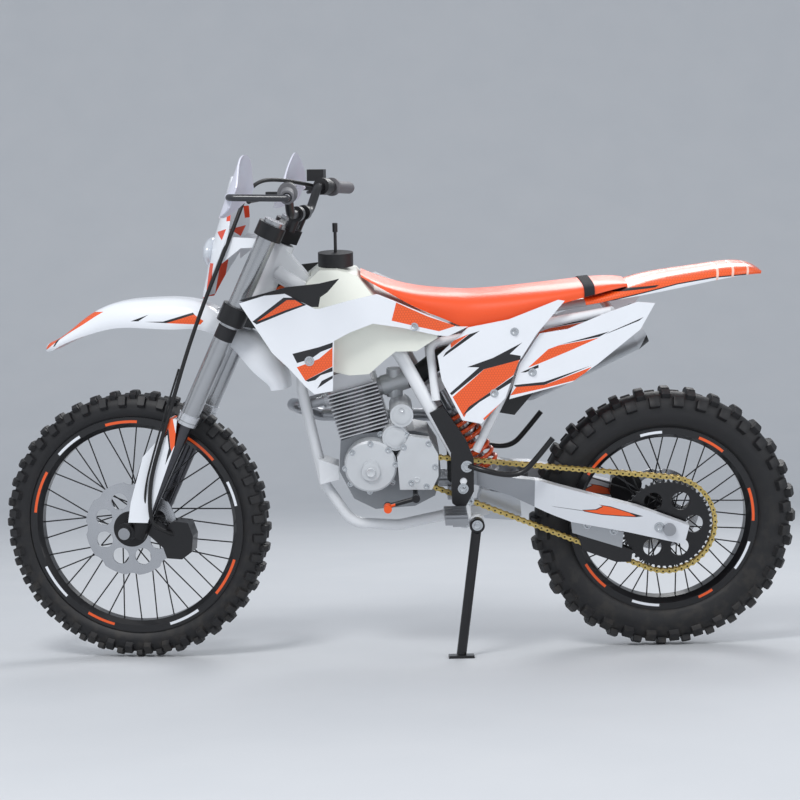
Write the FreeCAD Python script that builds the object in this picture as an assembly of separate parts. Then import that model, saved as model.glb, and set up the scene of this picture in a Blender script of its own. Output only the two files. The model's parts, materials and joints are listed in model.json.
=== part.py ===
"""Enduro motorcycle with an air-cooled single, parked on its side stand with the bars turned to the right.

Millimetres. The machine is modelled upright with its wheels in line: X runs backwards from the rear axle,
Y to the rider's right and Z up from the ground. Then the steering is turned about the steering axis, and
everything is leaned to the left about the line where the wheels meet the ground.
"""
import FreeCAD, Part
import math
import os
from collections import namedtuple
from FreeCAD import Vector

Box = namedtuple("Box", "x z length height")
Span = namedtuple("Span", "near far")

# Stance
LEAN_ANGLE = 12.0
STEER_ANGLE = 11.0
RAKE_ANGLE = 25.0
WHEELBASE = 1351.0
FORK_OFFSET = 54.0
FIT_GAP = 0.3
RUN_GAP = 0.5
OVERRUN = 5.0

# Front wheel
FRONT_TYRE_RADIUS = 349.0
FRONT_TYRE_WIDTH = 88.0
FRONT_RIM_RADIUS = 280.5
FRONT_RIM_WIDTH = 47.0
FRONT_SPOKE_COUNT = 36
FRONT_HUB_HALF = 76.0
FRONT_DISC_RADIUS = 120.0
FRONT_DISC_SIDE = 66.0
FRONT_AXLE_RADIUS = 10.0

# Rear wheel
REAR_TYRE_RADIUS = 345.0
REAR_TYRE_WIDTH = 112.0
REAR_RIM_RADIUS = 242.5
REAR_RIM_WIDTH = 62.0
REAR_SPOKE_COUNT = 36
REAR_HUB_HALF = 84.0
REAR_DISC_RADIUS = 110.0
REAR_DISC_SIDE = 72.0
REAR_AXLE_RADIUS = 10.0

# Rims, spokes, hubs and discs
RIM_DEPTH = 28.0
RIM_WALL = 3.0
RIM_FLANGE_HEIGHT = 14.0
SPOKE_RADIUS = 1.8
SPOKE_SIDES = 6
HUB_BARREL_RADIUS = 24.0
HUB_FLANGE_RADIUS = 37.0
HUB_FLANGE_SIDE = 30.0
HUB_FLANGE_THICKNESS = 6.0
HUB_END_RADIUS = 17.0
DISC_THICKNESS = 4.0
DISC_WAVE_COUNT = 8
DISC_WAVE_RADIUS = 34.0
DISC_WINDOW_RADIUS = 21.0
DISC_WINDOW_PITCH_RADIUS = 76.0

# Chain drive
CHAIN_PITCH = 15.875
CHAIN_SIDE = 72.0
CHAIN_WIDTH = 17.0
CHAIN_HEIGHT = 13.0
REAR_TOOTH_COUNT = 49
DRIVE_TOOTH_COUNT = 13
SPROCKET_THICKNESS = 6.0
TOOTH_HEIGHT = 6.0
DRIVE_SHAFT_X = -622.0
DRIVE_SHAFT_Z = 505.0
DRIVE_SHAFT_RADIUS = 12.0
SPROCKET_WINDOW_COUNT = 6

# Fork, clamps and front axle, measured up the steering axis from the axle's level
FORK_LEG_AHEAD = 28.0
FORK_LEG_SIDE = 100.0
FORK_TUBE_RADIUS = 24.0
FORK_SLIDER_RADIUS = 18.5
FORK_SEAL_ALONG = 318.0
FORK_TOP_ALONG = 874.0
FORK_LUG_RADIUS = 24.0
FORK_LUG_HALF = 22.0
FORK_LUG_ALONG = 44.0
FORK_CUP_RADIUS = 21.5
SEAL_HEIGHT = 26.0
SEAL_WALL = 3.0
LOWER_CLAMP_SPAN = Span(596.0, 642.0)
UPPER_CLAMP_SPAN = Span(828.0, 864.0)
CLAMP_WALL = 11.0
CLAMP_WEB = 30.0
STEM_RADIUS = 14.0
STEM_NUT_RADIUS = 17.0
STEM_NUT_HEIGHT = 12.0

# Handlebar and controls
BAR_RADIUS = 11.0
BAR_ENDS = 405.0
BAR_RISE_ALONG = 905.0
BAR_RISE_AHEAD = -6.0
BAR_BEND_SIDE = 118.0
BAR_SHOULDER_SIDE = 190.0
BAR_SHOULDER_RISE = 62.0
BAR_END_X = -862.0
BAR_END_Z = 1199.0
BAR_BEND_RADIUS = 55.0
BAR_CLAMP_SIDE = 42.0
BAR_CLAMP_WIDTH = 26.0
BAR_CLAMP_RADIUS = 19.0
GRIP_RADIUS = 16.0
GRIP_LENGTH = 122.0
GRIP_FLANGE_RADIUS = 24.0
GRIP_FLANGE_WIDTH = 5.0
PERCH_SIDE = 258.0
PERCH_WIDTH = 30.0
PERCH_RADIUS = 17.0
LEVER_REACH = 62.0
LEVER_LENGTH = 122.0
LEVER_THICKNESS = 9.0
LEVER_HEIGHT = 12.0
SWITCH_WIDTH = 34.0
SWITCH_RADIUS = 22.0
RESERVOIR_LENGTH = 44.0
RESERVOIR_HEIGHT = 30.0

# Hand guards
GUARD_WALL = 4.0
GUARD_STATIONS = (
    (180.0, -1004.0, 1186.0, 1214.0), (215.0, -1026.0, 1166.0, 1262.0), (270.0, -1040.0, 1150.0, 1292.0),
    (330.0, -1040.0, 1150.0, 1288.0), (375.0, -1022.0, 1158.0, 1258.0), (402.0, -1000.0, 1176.0, 1222.0),
)
GUARD_LEAN_SHARE = 0.38
GUARD_ARM_RADIUS = 8.0
GUARD_ARM_GAP = 10.0
GUARD_ARM_BEND = 30.0

# Headlight mask and lens
MASK_STATIONS = (
    (938.0, -1165.0, 44.0, 12.0), (985.0, -1155.0, 70.0, 24.0), (1025.0, -1147.0, 92.0, 38.0),
    (1070.0, -1136.0, 110.0, 50.0), (1101.0, -1126.0, 114.0, 50.0), (1160.0, -1107.0, 100.0, 36.0),
    (1215.0, -1092.0, 78.0, 20.0), (1240.0, -1085.0, 56.0, 12.0),
)
MASK_WALL = 4.0
MASK_EAR = Box(-1092.0, 1028.0, 96.0, 66.0)
MASK_EAR_SHARES = ((0.00, 0.02), (0.50, 0.58), (1.00, 0.62), (1.00, 0.94), (0.20, 1.00), (0.00, 0.70))
MASK_EAR_SIDE = 96.0
LENS_Z = 1050.0
LENS_X = -1138.0
LENS_HALF_WIDTH = 68.0
LENS_HALF_HEIGHT = 40.0
LENS_BULGE = 22.0

# Front fender, as stations along its ridge: place, height, slope, depth and half width
FENDER_STATIONS = (
    (-1580.0, 802.0, 36.0, 6.0, 12.0), (-1548.0, 829.0, 33.0, 20.0, 44.0), (-1466.0, 887.0, 27.0, 44.0, 62.0),
    (-1387.0, 925.0, 14.0, 62.0, 72.0), (-1295.0, 936.0, 1.0, 71.0, 76.0), (-1205.0, 935.0, -4.0, 72.0, 74.0),
    (-1150.0, 921.0, -22.0, 62.0, 68.0), (-1106.0, 891.0, -27.0, 46.0, 62.0), (-1058.0, 861.0, -36.0, 48.0, 62.0),
    (-1016.0, 834.0, -42.0, 60.0, 62.0), (-976.0, 790.0, -56.0, 62.0, 60.0), (-955.0, 752.0, -70.0, 52.0, 56.0),
    (-948.0, 712.0, -84.0, 38.0, 50.0),
)
FENDER_WALL = 3.5
FENDER_BOSS_RADIUS = 22.0

# Fork guards
FORK_GUARD = Box(-1341.0, 381.0, 132.0, 266.0)
FORK_GUARD_SHARES = (
    (0.86, 1.00), (1.00, 0.98), (0.94, 0.73), (0.38, 0.00), (0.00, 0.00), (0.06, 0.19), (0.32, 0.63), (0.71, 0.84),
)
FORK_GUARD_HALF = 26.0
FORK_GUARD_WALL = 3.0

# Front brake
FRONT_CALIPER = Box(-1262.0, 282.0, 78.0, 98.0)
CALIPER_SHARES = (
    (0.00, 0.30), (0.12, 0.02), (0.62, 0.00), (0.95, 0.20), (1.00, 0.62), (0.84, 0.96), (0.36, 1.00), (0.06, 0.80),
)
CALIPER_HALF = 26.0

# Frame
FRAME_TUBE_RADIUS = 17.0
CRADLE_TUBE_RADIUS = 14.0
HEAD_TUBE_RADIUS = 27.0
HEAD_TUBE_SPAN = Span(650.0, 820.0)
SPAR_HEAD_SIDE = 24.0
SPAR_TANK_SIDE = 62.0
SPAR_KNEE_SIDE = 94.0
SPAR_SIDE = 103.0
SPAR_HEAD_X = -975.0
SPAR_HEAD_Z = 1006.0
SPAR_TANK_X = -850.0
SPAR_TANK_Z = 930.0
SPAR_KNEE_X = -677.0
SPAR_KNEE_Z = 812.0
SPAR_WAIST_X = -590.0
SPAR_WAIST_Z = 650.0
SPAR_FOOT_X = -520.0
SPAR_FOOT_Z = 520.0
SPAR_END_X = -516.0
SPAR_END_Z = 372.0
SPAR_BEND_RADIUS = 90.0
DOWN_TOP_X = -990.0
DOWN_TOP_Z = 936.0
DOWN_KINK_X = -920.0
DOWN_KINK_Z = 776.0
DOWN_WAIST_X = -921.0
DOWN_WAIST_Z = 696.0
DOWN_LOW_X = -868.0
DOWN_LOW_Z = 450.0
CRADLE_FRONT_X = -800.0
CRADLE_FRONT_Z = 346.0
CRADLE_MID_X = -680.0
CRADLE_MID_Z = 338.0
CRADLE_BEND_RADIUS = 70.0
MOUNT_THICKNESS = 8.0
GUSSET = Box(-998.0, 950.0, 106.0, 120.0)
GUSSET_SHARES = ((0.00, 0.34), (0.60, 0.03), (1.00, 0.30), (0.36, 1.00))
GUSSET_HALF = 27.0
FRONT_MOUNT = Box(-882.0, 455.0, 50.0, 70.0)
FRONT_MOUNT_SHARES = ((0.05, 0.05), (1.00, 0.22), (1.00, 0.72), (0.00, 1.00))
MOUNT_SIDE = 34.0
SHOCK_MOUNT_X = -604.0
SHOCK_MOUNT_Z = 684.0
SHOCK_MOUNT = Box(-614.0, 672.0, 62.0, 60.0)
SHOCK_MOUNT_SHARES = ((0.00, 0.13), (0.22, 0.00), (0.94, 0.57), (0.84, 0.97), (0.47, 0.97), (0.00, 0.47))
LINK_MOUNT = Box(-530.0, 352.0, 82.0, 48.0)
LINK_MOUNT_SHARES = ((0.00, 0.70), (0.90, 1.00), (1.00, 0.42), (0.06, 0.00))

# Subframe
SUBFRAME_RADIUS = 11.0
SUBFRAME_SIDE = 88.0
SUBFRAME_TOP_X = -600.0
SUBFRAME_TOP_Z = 829.0
SUBFRAME_END_X = -150.0
SUBFRAME_END_Z = 903.0
SUBFRAME_FOOT_X = -586.0
SUBFRAME_FOOT_Z = 690.0
SUBFRAME_STAY_FOOT_X = -486.0
SUBFRAME_STAY_FOOT_Z = 552.0
SUBFRAME_STAY_TOP_X = -330.0
SUBFRAME_STAY_TOP_Z = 874.0
BUMPER_X = -480.0
BUMPER_RADIUS = 8.0
BUMPER_REACH = 60.0

# Frame guards
FRAME_GUARD = Box(-603.0, 406.0, 109.0, 270.0)
FRAME_GUARD_SHARES = (
    (0.00, 0.94), (0.48, 0.56), (0.50, 0.08), (0.75, 0.00), (1.00, 0.19), (1.00, 0.50), (0.83, 0.67), (0.31, 1.00),
)
FRAME_GUARD_SIDES = Span(100.0, 127.0)

# Engine
CRANKCASE = Box(-830.0, 398.0, 257.0, 202.0)
CRANKCASE_SHARES = (
    (0.02, 0.89), (0.20, 0.97), (0.42, 1.00), (0.74, 1.00), (0.88, 0.96), (0.98, 0.76), (1.00, 0.44),
    (0.94, 0.16), (0.74, 0.03), (0.35, 0.00), (0.14, 0.14), (0.00, 0.50),
)
CRANKCASE_HALF = 76.0
COVER_X = -751.0
COVER_Z = 521.0
COVER_RADIUS = 66.0
COVER_DEPTH = 48.0
COVER_PLUG_RADIUS = 19.0
COVER_PLUG_HEIGHT = 5.0
GEAR_COVER_X = -688.0
GEAR_COVER_Z = 593.0
GEAR_COVER_RADIUS = 33.0
GEAR_COVER_DEPTH = 42.0
SPROCKET_COVER = Box(-685.0, 461.0, 103.0, 139.0)
SPROCKET_COVER_SHARES = ((0.30, 1.00), (0.79, 0.94), (1.00, 0.65), (1.00, 0.25), (0.84, 0.00), (0.06, 0.01), (0.00, 0.61))
SPROCKET_COVER_SIDES = Span(88.0, 116.0)
CLUTCH_COVER_X = -660.0
CLUTCH_COVER_Z = 500.0
CLUTCH_COVER_RADIUS = 78.0
CLUTCH_COVER_DEPTH = 42.0
STARTER_X = -672.0
STARTER_Z = 652.0
STARTER_RADIUS = 29.0
STARTER_SIDES = Span(-20.0, 112.0)
CYLINDER_X = -764.0
CYLINDER_Z = 598.0
CYLINDER_TILT_ANGLE = 15.0
CYLINDER_HALF_LENGTH = 64.0
CYLINDER_HALF_WIDTH = 72.0
CYLINDER_CORE_RADIUS = 50.0
FIN_COUNT = 13
FIN_PITCH = 9.5
FIN_THICKNESS = 3.2
ROCKER_HEIGHT = 44.0
ROCKER_HALF_LENGTH = 54.0
ROCKER_HALF_WIDTH = 56.0
CARBURETTOR_RADIUS = 26.0
CARBURETTOR_LENGTH = 66.0
CARBURETTOR_BOWL_DEPTH = 36.0

# Exhaust
HEADER_RADIUS = 17.0
HEADER_BEND_RADIUS = 32.0
PORT_RADIUS = 23.0
PORT_LENGTH = 16.0
PORT_HEIGHT = 92.0
PORT_SIDE = 35.0
HEADER_REACH = 66.0
HEADER_TURN_X = -952.0
HEADER_TURN_Z = 640.0
HEADER_TURN_SIDE = 100.0
HEADER_SIDE = 148.0
HEADER_RUN_X = -880.0
HEADER_RUN_Z = 600.0
HEADER_REAR_X = -500.0
HEADER_REAR_Z = 592.0
MUFFLER_FRONT_X = -404.0
MUFFLER_FRONT_Z = 652.0
MUFFLER_END_X = -42.0
MUFFLER_END_Z = 826.0
MUFFLER_SIDE = 122.0
MUFFLER_HALF_WIDTH = 43.0
MUFFLER_HALF_HEIGHT = 54.0
MUFFLER_MOUTH_RADIUS = 20.0
MUFFLER_MOUTH_DEPTH = 60.0

# Airbox
AIRBOX = Box(-500.0, 640.0, 160.0, 190.0)
AIRBOX_SHARES = ((0.06, 0.10), (0.70, 0.00), (1.00, 0.30), (1.00, 1.00), (0.10, 1.00), (0.00, 0.60))
BOOT_RADIUS = 25.0
BOOT_TOP_X = -560.0
BOOT_TOP_Z = 782.0

# Tank and seat
TANK_SIDE = Box(-950.0, 764.0, 367.0, 250.0)
TANK_SHARES = (
    (0.00, 0.54), (0.30, 0.04), (0.41, 0.00), (0.54, 0.01), (0.65, 0.15), (0.72, 0.23), (0.86, 0.23),
    (1.00, 0.36), (1.00, 0.42), (0.80, 0.60), (0.59, 0.74), (0.47, 0.95), (0.34, 1.00), (0.22, 1.00), (0.14, 0.90),
)
TANK_HALF_WIDTH = 148.0
TANK_TOP_HALF = 70.0
CAP_X = -829.0
CAP_RADIUS = 44.0
CAP_HEIGHT = 34.0
BREATHER_RADIUS = 4.0
BREATHER_HEIGHT = 62.0
VALVE_RADIUS = 6.5
VALVE_HEIGHT = 22.0
SEAT_STATIONS = (
    (-771.0, 1003.0, 997.0, 60.0), (-718.0, 978.0, 969.0, 84.0), (-643.0, 958.0, 926.0, 96.0),
    (-560.0, 949.0, 891.0, 103.0), (-500.0, 946.0, 863.6, 106.0), (-425.0, 949.0, 874.5, 108.0),
    (-316.0, 960.0, 912.0, 106.0), (-200.0, 980.0, 951.5, 98.0), (-130.0, 994.0, 976.0, 84.0),
    (-93.0, 1007.0, 1001.0, 66.0),
)

# Body panels
SHROUD = Box(-1063.0, 729.0, 556.0, 246.0)
SHROUD_SHARES = (
    (0.00, 0.90), (0.14, 0.41), (0.21, 0.26), (0.28, 0.08), (0.32, 0.00), (0.40, 0.03), (0.41, 0.53), (0.48, 0.61),
    (0.58, 0.69), (0.70, 0.64), (0.86, 0.54), (0.91, 0.52), (1.00, 0.60), (0.95, 0.61), (0.67, 0.91), (0.60, 0.98),
    (0.47, 0.92), (0.35, 0.85), (0.33, 0.85), (0.20, 1.00), (0.11, 0.98),
)
SHROUD_FRONT_SIDE = 172.0
SHROUD_WIDE_SIDE = 196.0
SHROUD_BACK_SIDE = 132.0
VENT = Box(-1063.0, 942.0, 243.0, 67.0)
VENT_SHARES = (
    (0.00, 0.23), (0.47, 0.72), (0.80, 0.84), (1.00, 1.00), (0.88, 0.52), (0.81, 0.35), (0.79, 0.00),
    (0.75, 0.00), (0.46, 0.00), (0.26, 0.00),
)
SHROUD_BOSSES = ((-868.0, 880.0), (-850.0, 800.0), (-640.0, 886.0))
BOSS_RADIUS = 7.0
PANEL_WALL = 4.0
SIDE_PANEL = Box(-582.0, 634.0, 314.0, 304.0)
SIDE_PANEL_SHARES = (
    (0.24, 0.79), (0.00, 0.56), (0.03, 0.36), (0.19, 0.03), (0.34, 0.00), (0.53, 0.21), (0.63, 0.49),
    (0.78, 0.73), (1.00, 0.99), (0.95, 1.00), (0.56, 0.85),
)
SIDE_PANEL_SIDE = 140.0
TAIL_PANEL = Box(-405.0, 692.0, 363.0, 235.0)
TAIL_PANEL_SHARES = (
    (0.21, 0.69), (0.40, 0.73), (0.68, 0.90), (0.88, 1.00), (1.00, 0.98), (0.90, 0.71), (0.61, 0.36),
    (0.43, 0.17), (0.00, 0.00), (0.07, 0.37),
)
TAIL_PANEL_SIDE = 126.0
MUFFLER_CLEARANCE = 6.0
SIDE_BOSS_X = -420.0
TAIL_BOSS_X = -172.0
TAIL_BOSS_DROP = 6.5
TAIL_BOSS_RADIUS = 5.0

# Rear fender, as stations along its ridge: place, height, slope, depth and half width
REAR_FENDER_STATIONS = (
    (-216.0, 936.0, 14.0, 18.0, 92.0), (-120.0, 958.0, 12.0, 24.0, 96.0), (14.0, 988.0, 10.0, 32.0, 86.0),
    (110.0, 1001.0, 6.0, 28.0, 78.0), (190.0, 1006.0, 0.0, 22.0, 70.0), (233.0, 990.0, -26.0, 8.0, 48.0),
)
REAR_FENDER_BOSS_TOP = 949.0

# Rear suspension
SHOCK_TOP_X = -572.0
SHOCK_TOP_Z = 716.0
SHOCK_LOW_X = -424.0
SHOCK_LOW_Z = 440.0
SHOCK_ROD_RADIUS = 8.0
SHOCK_BODY_RADIUS = 22.0
SPRING_RADIUS = 31.0
SPRING_WIRE_RADIUS = 5.5
SPRING_SPAN_SHARES = (0.26, 0.84)
SWINGARM = Box(-535.0, 305.0, 586.0, 203.0)
SWINGARM_SHARES = (
    (0.00, 0.98), (0.08, 1.00), (0.24, 0.88), (0.35, 0.85), (0.47, 0.75), (0.78, 0.49), (1.00, 0.24), (0.98, 0.00),
    (0.74, 0.17), (0.49, 0.32), (0.38, 0.45), (0.23, 0.65), (0.08, 0.78), (0.00, 0.79),
)
SWINGARM_FRONT_SIDES = Span(56.0, 85.0)
SWINGARM_REAR_SIDES = Span(88.0, 118.0)
SWINGARM_WAIST_X = -484.0
PIVOT_X = -520.0
PIVOT_Z = 484.0
PIVOT_RADIUS = 21.0
PIVOT_BOLT_RADIUS = 9.0
BRACE_X = -372.0
BRACE_Z = 450.0
BRACE_RADIUS = 14.0
LINKAGE = Box(-478.0, 352.0, 112.0, 84.0)
LINKAGE_SHARES = ((0.00, 0.55), (0.15, 0.08), (0.80, 0.00), (1.00, 0.14), (0.96, 0.76), (0.08, 1.00))
LINKAGE_HALF = 28.0

# Chain guides
GUIDE_PLATE = Box(-246.0, 290.0, 135.0, 73.0)
GUIDE_PLATE_SHARES = ((0.00, 1.00), (1.00, 0.57), (0.97, 0.00), (0.03, 0.58))
GUIDE_BLOCK = Box(-228.0, 252.0, 141.0, 74.0)
GUIDE_BLOCK_SHARES = ((0.00, 1.00), (0.30, 0.92), (1.00, 0.42), (0.97, 0.00), (0.70, 0.01), (0.09, 0.46))
GUIDE_HALF = 16.0

# Rear brake
REAR_CALIPER = Box(-128.0, 372.0, 84.0, 78.0)

# Foot controls and stand
PEG_X = -543.0
PEG_Z = 410.0
PEG_LENGTH = 56.0
PEG_REACH = 104.0
PEG_HEIGHT = 16.0
PEG_SIDE = 133.0
PEG_BRACKET_LENGTH = 34.0
PEG_BRACKET_HEIGHT = 36.0
PEG_TOOTH_COUNT = 5
PEG_TOOTH_HEIGHT = 7.0
GEAR_SHAFT_X = -640.0
GEAR_SHAFT_Z = 449.0
GEAR_TIP_X = -711.0
GEAR_TIP_Z = 430.0
GEAR_SIDE = 152.0
BRAKE_PEDAL_X = -585.0
BRAKE_PEDAL_Z = 440.0
BRAKE_PEDAL_INNER = 76.3
BRAKE_TIP_X = -735.0
BRAKE_TIP_Z = 412.0
LEVER_ROD_RADIUS = 6.0
PEDAL_TIP_RADIUS = 10.0
PEDAL_TIP_LENGTH = 30.0
STAND_X = -487.0
STAND_Z = 371.0
STAND_SIDE = 132.0
STAND_FOOT_X = -531.0
STAND_FOOT_OUT = 181.0
STAND_RADIUS = 12.5
STAND_EYE_RADIUS = 19.0
STAND_EYE_THICKNESS = 9.0
STAND_FOOT_LENGTH = 64.0
STAND_FOOT_WIDTH = 40.0
STAND_FOOT_THICKNESS = 7.0
STAND_PIN_RADIUS = 6.0
PIN_GAP = 0.05

# Straps


def sine(angle):
    return math.sin(math.radians(angle))


def cosine(angle):
    return math.cos(math.radians(angle))


# Bodies are placed with these
UP = Vector(sine(RAKE_ANGLE), 0, cosine(RAKE_ANGLE))
AHEAD = Vector(-cosine(RAKE_ANGLE), 0, sine(RAKE_ANGLE))
SIDEWAYS = Vector(0, 1, 0)


def rear_axle_height():
    """Height at which the leaned rear tyre, an arc across, just touches the ground."""
    crown = REAR_TYRE_WIDTH / 2
    return REAR_TYRE_RADIUS - crown + crown / cosine(LEAN_ANGLE)


def front_axle_height():
    """The same for the front tyre, whose wheel is also turned about the steering axis."""
    crown = FRONT_TYRE_WIDTH / 2
    slant = cosine(STEER_ANGLE) * sine(LEAN_ANGLE) - sine(STEER_ANGLE) * sine(RAKE_ANGLE) * cosine(LEAN_ANGLE)
    centre_height = (FRONT_TYRE_RADIUS - crown) * math.sqrt(1 - slant ** 2) + crown
    swung = FORK_OFFSET * sine(STEER_ANGLE) * sine(LEAN_ANGLE)
    drop = FORK_OFFSET * (1 - cosine(STEER_ANGLE)) * sine(RAKE_ANGLE)
    return (centre_height - swung) / cosine(LEAN_ANGLE) + drop


REAR_AXLE = Vector(0, 0, rear_axle_height())
FRONT_AXLE = Vector(-WHEELBASE, 0, front_axle_height())
STEERING_POINT = FRONT_AXLE - AHEAD * FORK_OFFSET


def fork_point(along, ahead, side=0):
    """A point of the steering, from its height up the steering axis and its distance ahead of it."""
    return STEERING_POINT + UP * along + AHEAD * ahead + SIDEWAYS * side


def spread(box, shares):
    """The points of an outline, from shares of the box that it fills."""
    return [(box.x + along * box.length, box.z + up * box.height) for along, up in shares]


def side_wire(points, y):
    return Part.makePolygon([Vector(x, y, z) for x, z in points + points[:1]])


def plate(points, y_from, y_to):
    """A flat piece with this outline seen from the side."""
    face = Part.Face(side_wire(points, y_from))
    return face.extrude(Vector(0, y_to - y_from, 0))


def fuse(shapes):
    return shapes[0].multiFuse(list(shapes[1:])).removeSplitter()


def mirrored(shape):
    return shape.mirror(Vector(0, 0, 0), SIDEWAYS)


def pair(shape):
    """The piece and its mirror image on the other side, as two solids."""
    return Part.makeCompound([shape, mirrored(shape)])


def rod(start, end, radius):
    return Part.makeCylinder(radius, (end - start).Length, start, end - start)


def cross_rod(x, z, y_from, y_to, radius):
    """A round piece that lies across the machine."""
    return rod(Vector(x, y_from, z), Vector(x, y_to, z), radius)


def lathe(profile, x, z):
    """A piece turned about a cross axis, from pairs of radius and place across."""
    face = Part.Face(Part.makePolygon([Vector(x, y, z + radius) for radius, y in profile + profile[:1]]))
    return face.revolve(Vector(x, 0, z), SIDEWAYS, 360)


def bent_path(points, bend):
    """Straight runs joined by tangent arcs."""
    edges = []
    start = points[0]
    for before, corner, after in zip(points, points[1:], points[2:]):
        back = (before - corner).normalize()
        on = (after - corner).normalize()
        half = back.getAngle(on) / 2
        reach = bend / math.tan(half)
        middle = (back + on).normalize() * (bend / math.sin(half) - bend)
        edges.append(Part.LineSegment(start, corner + back * reach).toShape())
        edges.append(Part.Arc(corner + back * reach, corner + middle, corner + on * reach).toShape())
        start = corner + on * reach
    edges.append(Part.LineSegment(start, points[-1]).toShape())
    return Part.Wire(edges)


def tube(points, radius, bend):
    path = bent_path(points, bend)
    section = Part.Wire(Part.makeCircle(radius, points[0], points[1] - points[0]))
    return path.makePipeShell([section], True, True)


def box_around(centre, length, width, height):
    corner = centre - Vector(length, width, height) / 2
    return Part.makeBox(length, width, height, corner)


def regular_prism(start, end, radius, sides):
    """A slim bar with flat sides from one point to another."""
    axis = (end - start).normalize()
    first = axis.cross(SIDEWAYS if abs(axis.y) < abs(axis.x) + abs(axis.z) else UP).normalize()
    second = axis.cross(first)
    corners = []
    for step in range(sides + 1):
        turn = 2 * math.pi * step / sides
        corners.append(start + first * (radius * math.cos(turn)) + second * (radius * math.sin(turn)))
    return Part.Face(Part.makePolygon(corners)).extrude(end - start)


# Wheels


def tyre(radius, width, rim_radius, rim_width, centre):
    """A tyre out to the tips of its lugs, round across the crown, closed at its beads."""
    crown = width / 2
    ring = radius - crown
    bead = rim_width / 2 - RIM_WALL - FIT_GAP
    seat = rim_radius - RIM_FLANGE_HEIGHT + FIT_GAP
    lip = rim_radius + FIT_GAP

    def spot(r, y):
        return Vector(centre.x, y, centre.z + r)

    half_root = math.sqrt(0.5)
    outline = Part.Wire([
        Part.LineSegment(spot(seat, -bead), spot(seat, bead)).toShape(),
        Part.LineSegment(spot(seat, bead), spot(lip, bead)).toShape(),
        Part.LineSegment(spot(lip, bead), spot(ring, crown)).toShape(),
        Part.Arc(spot(ring, crown), spot(ring + crown * half_root, crown * half_root), spot(radius, 0)).toShape(),
        Part.Arc(spot(radius, 0), spot(ring + crown * half_root, -crown * half_root), spot(ring, -crown)).toShape(),
        Part.LineSegment(spot(ring, -crown), spot(lip, -bead)).toShape(),
        Part.LineSegment(spot(lip, -bead), spot(seat, -bead)).toShape(),
    ])
    return Part.Face(outline).revolve(centre, SIDEWAYS, 360)


def rim(radius, width, centre):
    """The rim's channel, with a flange each side and a hollow well."""
    half = width / 2
    floor = radius - RIM_FLANGE_HEIGHT
    well = radius - RIM_DEPTH
    profile = [
        (radius, -half), (radius, -half + RIM_WALL), (floor, -half + RIM_WALL), (floor - RIM_WALL, 0),
        (floor, half - RIM_WALL), (radius, half), (radius, half), (floor - RIM_WALL, half), (well, half / 2),
        (well, -half / 2), (floor - RIM_WALL, -half),
    ]
    profile[5] = (radius, half - RIM_WALL)
    return lathe(profile, centre.x, centre.z)


def spokes(count, rim_radius, centre):
    """Crossed spokes from both hub flanges to the well of the rim."""
    hub_radius = HUB_FLANGE_RADIUS - HUB_FLANGE_THICKNESS / 2
    well = rim_radius - RIM_DEPTH
    bars = []
    for number in range(count):
        side = 1 if number % 2 else -1
        lean = 1 if number % 4 < 2 else -1
        turn = 2 * math.pi * number / count
        foot_turn = turn + lean * math.pi * 4 / 9
        foot = centre + Vector(hub_radius * math.cos(foot_turn), side * HUB_FLANGE_SIDE, hub_radius * math.sin(foot_turn))
        head = centre + Vector(well * math.cos(turn), side * SPOKE_RADIUS * 2, well * math.sin(turn))
        bars.append(regular_prism(foot, head, SPOKE_RADIUS, SPOKE_SIDES))
    return bars


def hub(centre, half, axle_radius):
    """A hub shell with a flange for each side's spokes."""
    edge = HUB_FLANGE_THICKNESS / 2
    bore = axle_radius + RUN_GAP
    return lathe([
        (bore, -half), (HUB_END_RADIUS, -half), (HUB_END_RADIUS, -HUB_FLANGE_SIDE - edge),
        (HUB_FLANGE_RADIUS, -HUB_FLANGE_SIDE - edge), (HUB_FLANGE_RADIUS, -HUB_FLANGE_SIDE + edge),
        (HUB_BARREL_RADIUS, -HUB_FLANGE_SIDE + edge), (HUB_BARREL_RADIUS, HUB_FLANGE_SIDE - edge),
        (HUB_FLANGE_RADIUS, HUB_FLANGE_SIDE - edge), (HUB_FLANGE_RADIUS, HUB_FLANGE_SIDE + edge),
        (HUB_END_RADIUS, HUB_FLANGE_SIDE + edge), (HUB_END_RADIUS, half), (bore, half),
    ], centre.x, centre.z)


def brake_disc(radius, side, centre):
    """A wavy disc with round windows, on the hub's end."""
    blank = cross_rod(centre.x, centre.z, side - DISC_THICKNESS / 2, side + DISC_THICKNESS / 2, radius)
    cuts = [cross_rod(centre.x, centre.z, side - DISC_THICKNESS, side + DISC_THICKNESS, HUB_END_RADIUS + FIT_GAP)]
    for number in range(DISC_WAVE_COUNT):
        turn = 2 * math.pi * number / DISC_WAVE_COUNT
        notch = radius + DISC_WAVE_RADIUS * cosine(LEAN_ANGLE) - OVERRUN
        cuts.append(cross_rod(
            centre.x + notch * math.cos(turn), centre.z + notch * math.sin(turn),
            side - DISC_THICKNESS, side + DISC_THICKNESS, DISC_WAVE_RADIUS))
        half_turn = turn + math.pi / DISC_WAVE_COUNT
        cuts.append(cross_rod(
            centre.x + DISC_WINDOW_PITCH_RADIUS * radius / FRONT_DISC_RADIUS * math.cos(half_turn),
            centre.z + DISC_WINDOW_PITCH_RADIUS * radius / FRONT_DISC_RADIUS * math.sin(half_turn),
            side - DISC_THICKNESS, side + DISC_THICKNESS, DISC_WINDOW_RADIUS * radius / FRONT_DISC_RADIUS))
    return blank.cut(cuts)


def pitch_radius(teeth):
    return CHAIN_PITCH / 2 / math.sin(math.pi / teeth)


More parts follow.
